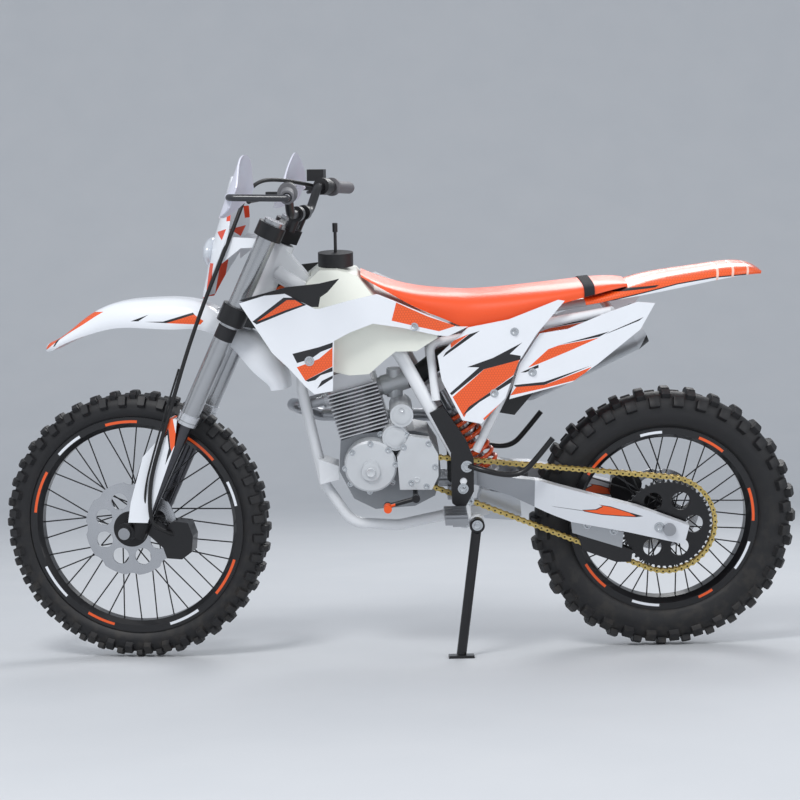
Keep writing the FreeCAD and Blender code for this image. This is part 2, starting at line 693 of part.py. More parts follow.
def sprocket(teeth, x, z, bore, windows):
    """A toothed wheel whose teeth stay just under the chain's rollers."""
    tip = pitch_radius(teeth) - CHAIN_HEIGHT / 2 - RUN_GAP
    root = tip - TOOTH_HEIGHT
    outline = []
    for number in range(teeth):
        for part, radius in ((-0.3, root), (-0.12, tip), (0.12, tip), (0.3, root)):
            turn = 2 * math.pi * (number + part) / teeth
            outline.append((x + radius * math.cos(turn), z + radius * math.sin(turn)))
    near = -CHAIN_SIDE - SPROCKET_THICKNESS / 2
    far = -CHAIN_SIDE + SPROCKET_THICKNESS / 2
    blank = plate(outline, near, far)
    cuts = [cross_rod(x, z, near - OVERRUN, far + OVERRUN, bore)]
    for number in range(windows):
        turn = 2 * math.pi * number / windows
        reach = (root + bore) / 2 + TOOTH_HEIGHT
        size = (root - bore) / 4
        cuts.append(cross_rod(x + reach * math.cos(turn), z + reach * math.sin(turn), near - OVERRUN, far + OVERRUN, size))
    return blank.cut(cuts)


def chain_loop(half_height):
    """Face between two offset loops round the pair of sprockets, seen from the side."""
    big = pitch_radius(REAR_TOOTH_COUNT)
    small = pitch_radius(DRIVE_TOOTH_COUNT)
    run = math.hypot(DRIVE_SHAFT_X, DRIVE_SHAFT_Z - REAR_AXLE.z)
    heading = math.atan2(DRIVE_SHAFT_Z - REAR_AXLE.z, DRIVE_SHAFT_X)
    spread_turn = math.acos((big - small) / run)

    def loop(offset):
        upper = heading - spread_turn
        lower = heading + spread_turn

        def on(centre_x, centre_z, radius, turn):
            return Vector(centre_x + radius * math.cos(turn), 0, centre_z + radius * math.sin(turn))

        back = (upper + lower) / 2 + math.pi
        big_r = big + offset
        small_r = small + offset
        return Part.Wire([
            Part.Arc(on(0, REAR_AXLE.z, big_r, upper), on(0, REAR_AXLE.z, big_r, back),
                     on(0, REAR_AXLE.z, big_r, lower)).toShape(),
            Part.LineSegment(on(0, REAR_AXLE.z, big_r, lower),
                             on(DRIVE_SHAFT_X, DRIVE_SHAFT_Z, small_r, lower)).toShape(),
            Part.Arc(on(DRIVE_SHAFT_X, DRIVE_SHAFT_Z, small_r, lower),
                     on(DRIVE_SHAFT_X, DRIVE_SHAFT_Z, small_r, heading),
                     on(DRIVE_SHAFT_X, DRIVE_SHAFT_Z, small_r, upper)).toShape(),
            Part.LineSegment(on(DRIVE_SHAFT_X, DRIVE_SHAFT_Z, small_r, upper),
                             on(0, REAR_AXLE.z, big_r, upper)).toShape(),
        ])

    outer = Part.Face(loop(half_height))
    return outer.cut(Part.Face(loop(-half_height)))


def chain():
    belt = chain_loop(CHAIN_HEIGHT / 2).extrude(Vector(0, CHAIN_WIDTH, 0))
    belt.translate(Vector(0, -CHAIN_SIDE - CHAIN_WIDTH / 2, 0))
    return belt


# Steering group


def fork_tubes():
    """The fat upper legs with the seal housings at their lower ends."""
    start = fork_point(FORK_SEAL_ALONG, FORK_LEG_AHEAD, FORK_LEG_SIDE)
    end = fork_point(FORK_TOP_ALONG, FORK_LEG_AHEAD, FORK_LEG_SIDE)
    leg = rod(start, end, FORK_TUBE_RADIUS)
    seal = rod(start, start + UP * SEAL_HEIGHT, FORK_TUBE_RADIUS + SEAL_WALL)
    bore = rod(start - UP * OVERRUN, start + UP * SEAL_HEIGHT * 2, FORK_SLIDER_RADIUS + FIT_GAP)
    return pair(fuse([leg, seal]).cut(bore))


def fork_sliders():
    """The slim lower legs with the lugs that hold the axle."""
    top = fork_point(FORK_SEAL_ALONG + SEAL_HEIGHT, FORK_LEG_AHEAD, FORK_LEG_SIDE)
    low = fork_point(0, FORK_LEG_AHEAD, FORK_LEG_SIDE)
    near = SIDEWAYS * FORK_LUG_HALF
    axle = fork_point(0, FORK_OFFSET, FORK_LEG_SIDE)
    eye = rod(axle - near, axle + near, FORK_LUG_RADIUS)
    cup = rod(low, fork_point(FORK_LUG_ALONG, FORK_LEG_AHEAD, FORK_LEG_SIDE), FORK_CUP_RADIUS)
    hole = rod(axle - near * 2, axle + near * 2, FRONT_AXLE_RADIUS + FIT_GAP)
    return pair(fuse([rod(low, top, FORK_SLIDER_RADIUS), eye, cup]).cut(hole))


def clamp(span):
    """One clamp that holds both legs and the stem between them."""
    height = span.far - span.near
    pieces = []
    for side in (-FORK_LEG_SIDE, FORK_LEG_SIDE):
        foot = fork_point(span.near, FORK_LEG_AHEAD, side)
        pieces.append(rod(foot, foot + UP * height, FORK_TUBE_RADIUS + CLAMP_WALL))
    corner_places = (
        (FORK_LEG_AHEAD / 2, -FORK_LEG_SIDE), (-CLAMP_WEB, 0), (FORK_LEG_AHEAD / 2, FORK_LEG_SIDE),
        (CLAMP_WEB * 1.5, FORK_LEG_SIDE), (CLAMP_WEB * 1.3, 0), (CLAMP_WEB * 1.5, -FORK_LEG_SIDE),
    )
    corners = [fork_point(span.near, ahead, side) for ahead, side in corner_places]
    web = Part.Face(Part.makePolygon(corners + corners[:1])).extrude(UP * height)
    bores = []
    for side in (-FORK_LEG_SIDE, FORK_LEG_SIDE):
        foot = fork_point(span.near - OVERRUN, FORK_LEG_AHEAD, side)
        bores.append(rod(foot, foot + UP * (height + OVERRUN * 2), FORK_TUBE_RADIUS + FIT_GAP))
    return fuse(pieces + [web]).cut(bores)


def fork_clamps():
    """Both clamps on the stem, with the stem nut."""
    stem = rod(fork_point(LOWER_CLAMP_SPAN.near, 0), fork_point(UPPER_CLAMP_SPAN.far, 0), STEM_RADIUS)
    nut = rod(fork_point(UPPER_CLAMP_SPAN.far, 0), fork_point(UPPER_CLAMP_SPAN.far + STEM_NUT_HEIGHT, 0), STEM_NUT_RADIUS)
    risers = []
    for side in (-BAR_CLAMP_SIDE, BAR_CLAMP_SIDE):
        foot = fork_point(UPPER_CLAMP_SPAN.far - OVERRUN, BAR_RISE_AHEAD, side)
        centre = fork_point(BAR_RISE_ALONG, BAR_RISE_AHEAD, side)
        half = SIDEWAYS * (BAR_CLAMP_WIDTH / 2)
        ring = rod(centre - half, centre + half, BAR_CLAMP_RADIUS)
        post = rod(foot, centre, BAR_CLAMP_WIDTH / 2)
        bore = rod(centre - half * 2, centre + half * 2, BAR_RADIUS + FIT_GAP)
        risers.append(fuse([ring, post]).cut(bore))
    clamps = fuse([clamp(LOWER_CLAMP_SPAN), clamp(UPPER_CLAMP_SPAN), stem, nut])
    return clamps.multiFuse(risers)


def bar_points():
    centre = fork_point(BAR_RISE_ALONG, BAR_RISE_AHEAD)
    shoulder = centre + Vector(BAR_BEND_RADIUS / 6, BAR_SHOULDER_SIDE, BAR_SHOULDER_RISE)
    half = [
        centre + SIDEWAYS * BAR_BEND_SIDE, shoulder, Vector(BAR_END_X, BAR_ENDS, BAR_END_Z),
    ]
    flipped = [Vector(p.x, -p.y, p.z) for p in reversed(half)]
    return flipped + half


def handlebar():
    """A bent bar with a crossbar between its shoulders."""
    points = bar_points()
    return tube(points, BAR_RADIUS, BAR_BEND_RADIUS)


def bar_place(side):
    """The point of the bar's end section at this distance from the middle."""
    shoulder, end = bar_points()[-2:]
    share = (side - shoulder.y) / (end.y - shoulder.y)
    return shoulder + (end - shoulder) * share


def bar_sleeve(side, length, radius):
    start = bar_place(side)
    direction = (bar_place(BAR_ENDS) - start).normalize()
    solid = rod(start, start + direction * length, radius)
    bore = rod(start - direction * OVERRUN, start + direction * (length + OVERRUN), BAR_RADIUS + FIT_GAP)
    return solid.cut(bore)


def grips():
    grip_from = BAR_ENDS - GRIP_LENGTH
    flange = bar_sleeve(grip_from - GRIP_FLANGE_WIDTH, GRIP_FLANGE_WIDTH * 2, GRIP_FLANGE_RADIUS)
    return pair(fuse([bar_sleeve(grip_from, GRIP_LENGTH, GRIP_RADIUS), flange]))


def lever(side):
    """A lever that runs ahead of the grip, from its perch on the bar."""
    perch = bar_place(PERCH_SIDE)
    forward = Vector(-LEVER_REACH, 0, -LEVER_REACH / 4)
    root = perch + forward * 0.7
    knee = perch + forward + SIDEWAYS * (LEVER_LENGTH / 3)
    tip = perch + forward * 1.05 + SIDEWAYS * LEVER_LENGTH
    blade = fuse([rod(root, knee, LEVER_THICKNESS / 2), rod(knee, tip, LEVER_THICKNESS / 2),
                  Part.makeSphere(LEVER_THICKNESS / 2, knee), Part.makeSphere(LEVER_HEIGHT / 2, tip)])
    arm = box_around(perch + forward * 0.45, LEVER_REACH * 0.7, PERCH_WIDTH, LEVER_HEIGHT * 1.5)
    sleeve = bar_sleeve(PERCH_SIDE - PERCH_WIDTH / 2, PERCH_WIDTH, PERCH_RADIUS)
    bore = rod(bar_place(BAR_SHOULDER_SIDE), bar_place(BAR_ENDS), BAR_RADIUS + FIT_GAP)
    control = fuse([sleeve, arm, blade]).cut(bore)
    return control if side > 0 else mirrored(control)


def bar_controls():
    """Clutch and brake levers, switches, the throttle housing and the brake's reservoir."""
    clutch = lever(-1)
    brake = lever(1)
    grip_edge = BAR_ENDS - GRIP_LENGTH - GRIP_FLANGE_WIDTH
    inner_edge = PERCH_SIDE - PERCH_WIDTH / 2
    switch = mirrored(bar_sleeve(inner_edge - SWITCH_WIDTH - FIT_GAP, SWITCH_WIDTH, SWITCH_RADIUS))
    throttle = bar_sleeve(inner_edge - SWITCH_WIDTH - FIT_GAP, SWITCH_WIDTH, SWITCH_RADIUS)
    place = bar_place(PERCH_SIDE)
    tank = box_around(
        place + Vector(-LEVER_REACH / 2, 0, RESERVOIR_HEIGHT), RESERVOIR_LENGTH, PERCH_WIDTH + grip_edge / 40, RESERVOIR_HEIGHT)
    bore = rod(bar_place(BAR_SHOULDER_SIDE), bar_place(BAR_ENDS), BAR_RADIUS + FIT_GAP)
    return Part.makeCompound([clutch, fuse([brake, tank]).cut(bore), switch, throttle])


def guard_section(side, front_x, low, high):
    """A thin upright slat of the hand guard, leaning back at its top."""
    lean = (high - low) * GUARD_LEAN_SHARE
    points = [(front_x, low), (front_x + lean, high), (front_x + lean + GUARD_WALL, high), (front_x + GUARD_WALL, low)]
    return side_wire(points, side)


def hand_guards():
    """Bowed shields in front of the grips, each on an arm from the bar's end."""
    shell = Part.makeLoft([guard_section(*station) for station in GUARD_STATIONS], True, False)
    end = bar_place(BAR_ENDS)
    side, front_x, low, high = GUARD_STATIONS[-2]
    mount = Vector(front_x + GUARD_WALL * 4, side, (low + high) / 2 - GUARD_ARM_RADIUS)
    knuckle = Vector(front_x + GUARD_ARM_BEND, end.y + GUARD_ARM_GAP + GUARD_ARM_RADIUS, (low + high) / 2 - GUARD_ARM_RADIUS)
    direction = (end - bar_place(BAR_SHOULDER_SIDE)).normalize()
    elbow = end + direction * (GUARD_ARM_GAP + GUARD_ARM_RADIUS)
    arm = tube([mount, knuckle, elbow], GUARD_ARM_RADIUS, GUARD_ARM_RADIUS * 2)
    stub = rod(end + direction * FIT_GAP, elbow, GUARD_ARM_RADIUS)
    ball = Part.makeSphere(GUARD_ARM_RADIUS, elbow)
    return pair(fuse([shell, arm, stub, ball]))


def bowed_section(z, front_x, half_width, sweep, wall):
    """Thin closed arc, level, that sweeps back to both sides."""
    ends = []
    curves = []
    for inset in (0, wall):
        left = Vector(front_x + sweep + inset, -half_width + inset / 2, z)
        right = Vector(front_x + sweep + inset, half_width - inset / 2, z)
        curves.append(Part.Arc(left, Vector(front_x + inset, 0, z), right).toShape())
        ends.append((left, right))
    near = Part.LineSegment(ends[0][0], ends[1][0]).toShape()
    far = Part.LineSegment(ends[0][1], ends[1][1]).toShape()
    return Part.Wire([curves[0], far, curves[1], near])


def lens_solid(extra=0):
    """An oval dome, flat behind."""
    ball = Part.makeSphere(LENS_HALF_WIDTH)
    matrix = FreeCAD.Matrix()
    matrix.scale((LENS_BULGE + extra) / LENS_HALF_WIDTH, (LENS_HALF_WIDTH + extra) / LENS_HALF_WIDTH,
                 (LENS_HALF_HEIGHT + extra) / LENS_HALF_WIDTH)
    dome = ball.transformGeometry(matrix)
    dome.translate(Vector(LENS_X, 0, LENS_Z))
    return dome


def headlight_mask():
    """The upright mask ahead of the fork, a bowed plate with an opening for the lens and an ear to each leg."""
    shell = Part.makeLoft([bowed_section(*station, MASK_WALL) for station in MASK_STATIONS], True, False)
    ear = plate(spread(MASK_EAR, MASK_EAR_SHARES), MASK_EAR_SIDE, MASK_EAR_SIDE + MASK_WALL)
    leg = rod(fork_point(FORK_SEAL_ALONG, FORK_LEG_AHEAD, FORK_LEG_SIDE),
              fork_point(FORK_TOP_ALONG, FORK_LEG_AHEAD, FORK_LEG_SIDE), FORK_TUBE_RADIUS + FIT_GAP)
    ear = ear.cut(leg)
    return fuse([shell, ear, mirrored(ear)]).cut(lens_solid(FIT_GAP))


def headlight_lens():
    return lens_solid()


def arch_section(x, z, slope, depth, half_width, wall):
    """Upturned channel across the machine at this point of its ridge: outer arch and the same one wall inside."""
    up = Vector(-sine(slope), 0, cosine(slope))
    ridge = Vector(x, 0, z)

    def arch(inset):
        points = []
        for across, fall in ((-1, 1), (-0.97, 0.45), (-0.72, 0.1), (0, 0), (0.72, 0.1), (0.97, 0.45), (1, 1)):
            point = ridge + SIDEWAYS * (across * (half_width - inset)) - up * (inset + fall * (depth - inset))
            points.append(point)
        curve = Part.BSplineCurve()
        curve.interpolate(points)
        return curve.toShape()

    outer = arch(0)
    inner = arch(wall)
    near = Part.LineSegment(outer.Vertexes[0].Point, inner.Vertexes[0].Point).toShape()
    far = Part.LineSegment(outer.Vertexes[1].Point, inner.Vertexes[1].Point).toShape()
    return Part.Wire([outer, far, inner, near])


def channel(stations, wall):
    """A fender, lofted through upturned channels along its ridge."""
    return Part.makeLoft([arch_section(*station, wall) for station in stations], True, False)


def front_fender():
    """The long front fender, with its tail that turns down behind the fork and its boss under the clamp."""
    whole = channel(FENDER_STATIONS, FENDER_WALL)
    top = fork_point(LOWER_CLAMP_SPAN.near - FIT_GAP, FORK_LEG_AHEAD / 2)
    boss = rod(top - UP * (FENDER_BOSS_RADIUS * 0.8), top, FENDER_BOSS_RADIUS)
    keep_out = rod(top, top + UP * (LOWER_CLAMP_SPAN.far - LOWER_CLAMP_SPAN.near), FORK_LEG_SIDE - FORK_TUBE_RADIUS)
    return fuse([whole.cut(keep_out), boss])


def fork_guards():
    """White guards ahead of and outside the sliders."""
    outline = spread(FORK_GUARD, FORK_GUARD_SHARES)
    low = FORK_LEG_SIDE - FORK_GUARD_HALF
    high = FORK_LEG_SIDE + FORK_GUARD_HALF
    solid = plate(outline, low, high)
    inside = plate(outline, low - OVERRUN, high - FORK_GUARD_WALL)
    inside.translate(AHEAD * -FORK_GUARD_WALL)
    leg = rod(fork_point(-FORK_LUG_ALONG, FORK_LEG_AHEAD, FORK_LEG_SIDE),
              fork_point(FORK_SEAL_ALONG, FORK_LEG_AHEAD, FORK_LEG_SIDE), FORK_LUG_RADIUS + FIT_GAP)
    housing = rod(fork_point(FORK_SEAL_ALONG - OVERRUN, FORK_LEG_AHEAD, FORK_LEG_SIDE),
                  fork_point(FORK_TOP_ALONG, FORK_LEG_AHEAD, FORK_LEG_SIDE), FORK_TUBE_RADIUS + SEAL_WALL + FIT_GAP)
    axle = fork_point(0, FORK_OFFSET, FORK_LEG_SIDE)
    eye = rod(axle - SIDEWAYS * FORK_GUARD_HALF * 2, axle + SIDEWAYS * FORK_GUARD_HALF * 2, FORK_LUG_RADIUS + FIT_GAP)
    return pair(solid.cut([inside, leg, housing, eye]))


def caliper(box, near, far, disc_side, disc_radius, centre):
    """A brake caliper with the slot that the disc turns in."""
    body = plate(spread(box, CALIPER_SHARES), near, far)
    slot = cross_rod(centre.x, centre.z, disc_side - DISC_THICKNESS / 2 - OVERRUN / 2,
                     disc_side + DISC_THICKNESS / 2 + OVERRUN / 2, disc_radius + OVERRUN)
    return body.cut(slot)


def front_caliper():
    """The caliper on its bracket from the fork's lug."""
    near = -FRONT_DISC_SIDE - CALIPER_HALF
    body = caliper(FRONT_CALIPER, near, -FRONT_DISC_SIDE + CALIPER_HALF, -FRONT_DISC_SIDE, FRONT_DISC_RADIUS, FRONT_AXLE)
    bracket = plate([
        (FRONT_CALIPER.x - FORK_LUG_RADIUS * 2, FRONT_AXLE.z), (FRONT_CALIPER.x + OVERRUN * 2, FRONT_CALIPER.z + OVERRUN * 4),
        (FRONT_CALIPER.x + OVERRUN * 2, FRONT_CALIPER.z + FRONT_CALIPER.height - OVERRUN * 2),
        (FRONT_CALIPER.x - FORK_LUG_RADIUS, FRONT_CALIPER.z + FRONT_CALIPER.height),
    ], near, near + MOUNT_THICKNESS)
    leg = rod(fork_point(-FORK_LUG_ALONG, FORK_LEG_AHEAD, -FORK_LEG_SIDE),
              fork_point(FORK_SEAL_ALONG, FORK_LEG_AHEAD, -FORK_LEG_SIDE), FORK_CUP_RADIUS + FIT_GAP)
    axle = fork_point(0, FORK_OFFSET, -FORK_LEG_SIDE)
    eye = rod(axle - SIDEWAYS * FORK_LUG_HALF * 2, axle + SIDEWAYS * FORK_LUG_HALF * 2, FORK_LUG_RADIUS + FIT_GAP)
    return fuse([body, bracket.cut([leg, eye])])


def front_axle():
    half = FORK_LEG_SIDE + FORK_LUG_HALF
    spindle = cross_rod(FRONT_AXLE.x, FRONT_AXLE.z, -half - OVERRUN, half, FRONT_AXLE_RADIUS)
    head = cross_rod(FRONT_AXLE.x, FRONT_AXLE.z, -half - OVERRUN * 2, -half - FIT_GAP, FRONT_AXLE_RADIUS * 1.5)
    return fuse([spindle, head])


# Frame group


def head_tube():
    start = fork_point(HEAD_TUBE_SPAN.near, 0)
    end = fork_point(HEAD_TUBE_SPAN.far, 0)
    return rod(start, end, HEAD_TUBE_RADIUS)


def spar_points():
    return [
        Vector(SPAR_HEAD_X, SPAR_HEAD_SIDE, SPAR_HEAD_Z), Vector(SPAR_TANK_X, SPAR_TANK_SIDE, SPAR_TANK_Z),
        Vector(SPAR_KNEE_X, SPAR_KNEE_SIDE, SPAR_KNEE_Z), Vector(SPAR_WAIST_X, SPAR_SIDE, SPAR_WAIST_Z),
        Vector(SPAR_FOOT_X, SPAR_SIDE, SPAR_FOOT_Z), Vector(SPAR_END_X, SPAR_SIDE, SPAR_END_Z),
    ]


def spar(extra=0):
    return tube(spar_points(), FRAME_TUBE_RADIUS + extra, SPAR_BEND_RADIUS)


def cradle():
    points = [
        Vector(DOWN_TOP_X, 0, DOWN_TOP_Z), Vector(DOWN_KINK_X, 0, DOWN_KINK_Z), Vector(DOWN_WAIST_X, 0, DOWN_WAIST_Z),
        Vector(DOWN_LOW_X, 0, DOWN_LOW_Z), Vector(CRADLE_FRONT_X, 0, CRADLE_FRONT_Z), Vector(CRADLE_MID_X, 0, CRADLE_MID_Z),
        Vector(SPAR_END_X, 0, SPAR_END_Z),
    ]
    return tube(points, CRADLE_TUBE_RADIUS, CRADLE_BEND_RADIUS)


def main_frame():
    """Head tube, two spars, one down tube with its cradle, and the cross pieces that join them."""
    left = spar()
    stem_bore = rod(fork_point(LOWER_CLAMP_SPAN.near, 0), fork_point(UPPER_CLAMP_SPAN.far, 0), STEM_RADIUS + RUN_GAP)
    low_cross = cross_rod(SPAR_END_X, SPAR_END_Z, -SPAR_SIDE, SPAR_SIDE, FRAME_TUBE_RADIUS)
    lug_face = -STAND_SIDE + STAND_EYE_THICKNESS
    lug = cross_rod(STAND_X, STAND_Z, lug_face, -SPAR_SIDE + FRAME_TUBE_RADIUS, STAND_EYE_RADIUS)
    pin = cross_rod(STAND_X, STAND_Z, -STAND_SIDE - STAND_EYE_THICKNESS - FIT_GAP, lug_face, STAND_PIN_RADIUS)
    head = cross_rod(STAND_X, STAND_Z, -STAND_SIDE - STAND_EYE_THICKNESS - OVERRUN, -STAND_SIDE - STAND_EYE_THICKNESS - FIT_GAP,
                     STAND_PIN_RADIUS * 1.7)
    bolt = cross_rod(PIVOT_X, PIVOT_Z, -SPAR_SIDE - FRAME_TUBE_RADIUS - OVERRUN, SPAR_SIDE + FRAME_TUBE_RADIUS + OVERRUN,
                     PIVOT_BOLT_RADIUS)
    gusset = plate(spread(GUSSET, GUSSET_SHARES), -GUSSET_HALF, GUSSET_HALF)
    mount = plate(spread(FRONT_MOUNT, FRONT_MOUNT_SHARES), -MOUNT_SIDE, MOUNT_SIDE)
    shock_cross = cross_rod(SHOCK_MOUNT_X, SHOCK_MOUNT_Z, -SPAR_SIDE, SPAR_SIDE, CRADLE_TUBE_RADIUS)
    eye_face = SHOCK_BODY_RADIUS + FIT_GAP
    shock_ear = plate(spread(SHOCK_MOUNT, SHOCK_MOUNT_SHARES), eye_face, eye_face + MOUNT_THICKNESS)
    link_face = LINKAGE_HALF + FIT_GAP
    link_ear = plate(spread(LINK_MOUNT, LINK_MOUNT_SHARES), link_face, link_face + MOUNT_THICKNESS)
    ears = [shock_cross, shock_ear, mirrored(shock_ear), link_ear, mirrored(link_ear)]
    pieces = ears + [head_tube(), left, mirrored(left), cradle(), low_cross, lug, pin, head, bolt, gusset, mount]
    return fuse(pieces).cut(stem_bore)


def subframe():
    """Tubes that carry the seat and the tail."""
    rail = tube([
        Vector(SUBFRAME_FOOT_X, SUBFRAME_SIDE + FRAME_TUBE_RADIUS + SUBFRAME_RADIUS, SUBFRAME_FOOT_Z),
        Vector(SUBFRAME_TOP_X, SUBFRAME_SIDE, SUBFRAME_TOP_Z), Vector(SUBFRAME_END_X, SUBFRAME_SIDE, SUBFRAME_END_Z),
    ], SUBFRAME_RADIUS, SUBFRAME_RADIUS * 2)
    stay = rod(Vector(SUBFRAME_STAY_FOOT_X, SUBFRAME_SIDE, SUBFRAME_STAY_FOOT_Z),
               Vector(SUBFRAME_STAY_TOP_X, SUBFRAME_SIDE, SUBFRAME_STAY_TOP_Z), SUBFRAME_RADIUS)
    cross = cross_rod(SUBFRAME_END_X, SUBFRAME_END_Z, -SUBFRAME_SIDE, SUBFRAME_SIDE, SUBFRAME_RADIUS)
    foot = Vector(BUMPER_X, SUBFRAME_SIDE, rail_height(BUMPER_X))
    cushion = seat()
    cushion.translate(Vector(0, 0, -FIT_GAP))
    post = Part.makeCylinder(BUMPER_RADIUS, BUMPER_REACH, foot, Vector(0, 0, 1)).cut(cushion)
    bumper = [piece for piece in post.Solids if piece.BoundBox.ZMin < foot.z + OVERRUN][0]
    whole = fuse([rail, mirrored(rail), stay, mirrored(stay), cross, bumper, mirrored(bumper)])
    return whole.cut([spar(FIT_GAP), mirrored(spar(FIT_GAP))])


def frame_guards():
    """Black guards wrapped round the spars at the rider's feet."""
    block = plate(spread(FRAME_GUARD, FRAME_GUARD_SHARES), FRAME_GUARD_SIDES.near, FRAME_GUARD_SIDES.far)
    bolt = cross_rod(PIVOT_X, PIVOT_Z, SPAR_SIDE, FRAME_GUARD_SIDES.far + OVERRUN, PIVOT_BOLT_RADIUS + FIT_GAP)
    return pair(block.cut([spar(FIT_GAP), bolt]))


def crankcase():
    """The heavy block of the engine, with the shaft and sprocket that drive the chain."""
    near = -CRANKCASE_HALF + CHAIN_WIDTH
    block = plate(spread(CRANKCASE, CRANKCASE_SHARES), near, CRANKCASE_HALF)
    shaft = cross_rod(DRIVE_SHAFT_X, DRIVE_SHAFT_Z, -CHAIN_SIDE - SPROCKET_THICKNESS, near + OVERRUN, DRIVE_SHAFT_RADIUS)
    driver = sprocket(DRIVE_TOOTH_COUNT, DRIVE_SHAFT_X, DRIVE_SHAFT_Z, DRIVE_SHAFT_RADIUS / 2, 0)
    return fuse([block, shaft, driver])


def engine_covers():
    """Cast covers on both sides of the crankcase."""
    near = -CRANKCASE_HALF + CHAIN_WIDTH
    face = near - FIT_GAP
    outer = face - COVER_DEPTH
    left = lathe([
        (0, face), (COVER_RADIUS, face), (COVER_RADIUS, outer + OVERRUN), (COVER_RADIUS - OVERRUN, outer),
        (COVER_PLUG_RADIUS, outer), (COVER_PLUG_RADIUS, outer - COVER_PLUG_HEIGHT), (0, outer - COVER_PLUG_HEIGHT),
    ], COVER_X, COVER_Z)
    gear = cross_rod(GEAR_COVER_X, GEAR_COVER_Z, face - GEAR_COVER_DEPTH, face, GEAR_COVER_RADIUS)
    right_face = CRANKCASE_HALF + FIT_GAP
    clutch = lathe([
        (0, right_face), (CLUTCH_COVER_RADIUS, right_face), (CLUTCH_COVER_RADIUS, right_face + CLUTCH_COVER_DEPTH - OVERRUN),
        (CLUTCH_COVER_RADIUS - OVERRUN, right_face + CLUTCH_COVER_DEPTH), (0, right_face + CLUTCH_COVER_DEPTH),
    ], CLUTCH_COVER_X, CLUTCH_COVER_Z)
    sprocket_cover = plate(spread(SPROCKET_COVER, SPROCKET_COVER_SHARES), -SPROCKET_COVER_SIDES.far, -SPROCKET_COVER_SIDES.near)
    return Part.makeCompound([fuse([left, gear, sprocket_cover]), clutch])


def cylinder_place(back, up, side=0):
    """A point of the tilted cylinder, from its distances behind the bore's axis and above the crankcase."""
    lift = Vector(-sine(CYLINDER_TILT_ANGLE), 0, cosine(CYLINDER_TILT_ANGLE))
    rearward = Vector(cosine(CYLINDER_TILT_ANGLE), 0, sine(CYLINDER_TILT_ANGLE))
    return Vector(CYLINDER_X, side, CYLINDER_Z) + rearward * back + lift * up


def cylinder():
    """The finned cylinder and head, tilted forward, with the rocker cover on top."""
    base = Vector(CYLINDER_X, 0, CYLINDER_Z)
    core = Part.makeCylinder(CYLINDER_CORE_RADIUS, FIN_COUNT * FIN_PITCH, base, Vector(0, 0, 1))
    parts = [core]
    for number in range(FIN_COUNT):
        centre = base + Vector(0, 0, FIN_PITCH * (number + 0.5))
        parts.append(box_around(centre, CYLINDER_HALF_LENGTH * 2, CYLINDER_HALF_WIDTH * 2, FIN_THICKNESS))
    top = base + Vector(0, 0, FIN_COUNT * FIN_PITCH + ROCKER_HEIGHT / 2 - FIN_PITCH / 2)
    parts.append(box_around(top, ROCKER_HALF_LENGTH * 2, ROCKER_HALF_WIDTH * 2, ROCKER_HEIGHT))
    whole = fuse(parts)
    whole.rotate(base, SIDEWAYS, -CYLINDER_TILT_ANGLE)
    front = rod(cylinder_place(0, PORT_HEIGHT, PORT_SIDE), cylinder_place(-CYLINDER_HALF_LENGTH - PORT_LENGTH, PORT_HEIGHT, PORT_SIDE),
                PORT_RADIUS)
    back = rod(cylinder_place(0, PORT_HEIGHT), cylinder_place(CYLINDER_HALF_LENGTH + PORT_LENGTH / 2, PORT_HEIGHT), PORT_RADIUS)
    return fuse([whole, front, back]).cut([crankcase(), engine_covers()])


def starter_motor():
    return cross_rod(STARTER_X, STARTER_Z, -STARTER_SIDES.far, -STARTER_SIDES.near, STARTER_RADIUS).cut(
        [crankcase(), engine_covers(), cylinder()])


def carburettor():
    """Body and float bowl behind the cylinder's rear port."""
    start = cylinder_place(CYLINDER_HALF_LENGTH + PORT_LENGTH / 2 + FIT_GAP, PORT_HEIGHT)
    rearward = (start - cylinder_place(0, PORT_HEIGHT)).normalize()
    body = rod(start, start + rearward * CARBURETTOR_LENGTH, CARBURETTOR_RADIUS)
    middle = start + rearward * (CARBURETTOR_LENGTH / 2)
    bowl = Part.makeCylinder(CARBURETTOR_RADIUS * 0.8, CARBURETTOR_BOWL_DEPTH * 2,
                             middle - Vector(0, 0, CARBURETTOR_BOWL_DEPTH), Vector(0, 0, 1))
    return fuse([body, bowl]).cut([starter_motor()])


def exhaust_pipe():
    """The header that leaves the head at the front and runs back on the right."""
    back = -CYLINDER_HALF_LENGTH - PORT_LENGTH - FIT_GAP
    start = cylinder_place(back, PORT_HEIGHT, PORT_SIDE)
    inlet, outlet = muffler_axis()
    direction = (outlet - inlet).normalize()
    points = [
        start, cylinder_place(back - HEADER_REACH, PORT_HEIGHT, PORT_SIDE),
        Vector(HEADER_TURN_X, HEADER_TURN_SIDE, HEADER_TURN_Z), Vector(HEADER_RUN_X, HEADER_SIDE, HEADER_RUN_Z),
        Vector(HEADER_REAR_X, HEADER_SIDE, HEADER_REAR_Z), inlet - direction * HEADER_BEND_RADIUS, inlet,
    ]
    flange = rod(start, cylinder_place(back - OVERRUN, PORT_HEIGHT, PORT_SIDE), PORT_RADIUS)
    return fuse([tube(points, HEADER_RADIUS, HEADER_BEND_RADIUS), flange])


def muffler_axis():
    start = Vector(MUFFLER_FRONT_X, MUFFLER_SIDE, MUFFLER_FRONT_Z)
    end = Vector(MUFFLER_END_X, MUFFLER_SIDE, MUFFLER_END_Z)
    return start, end


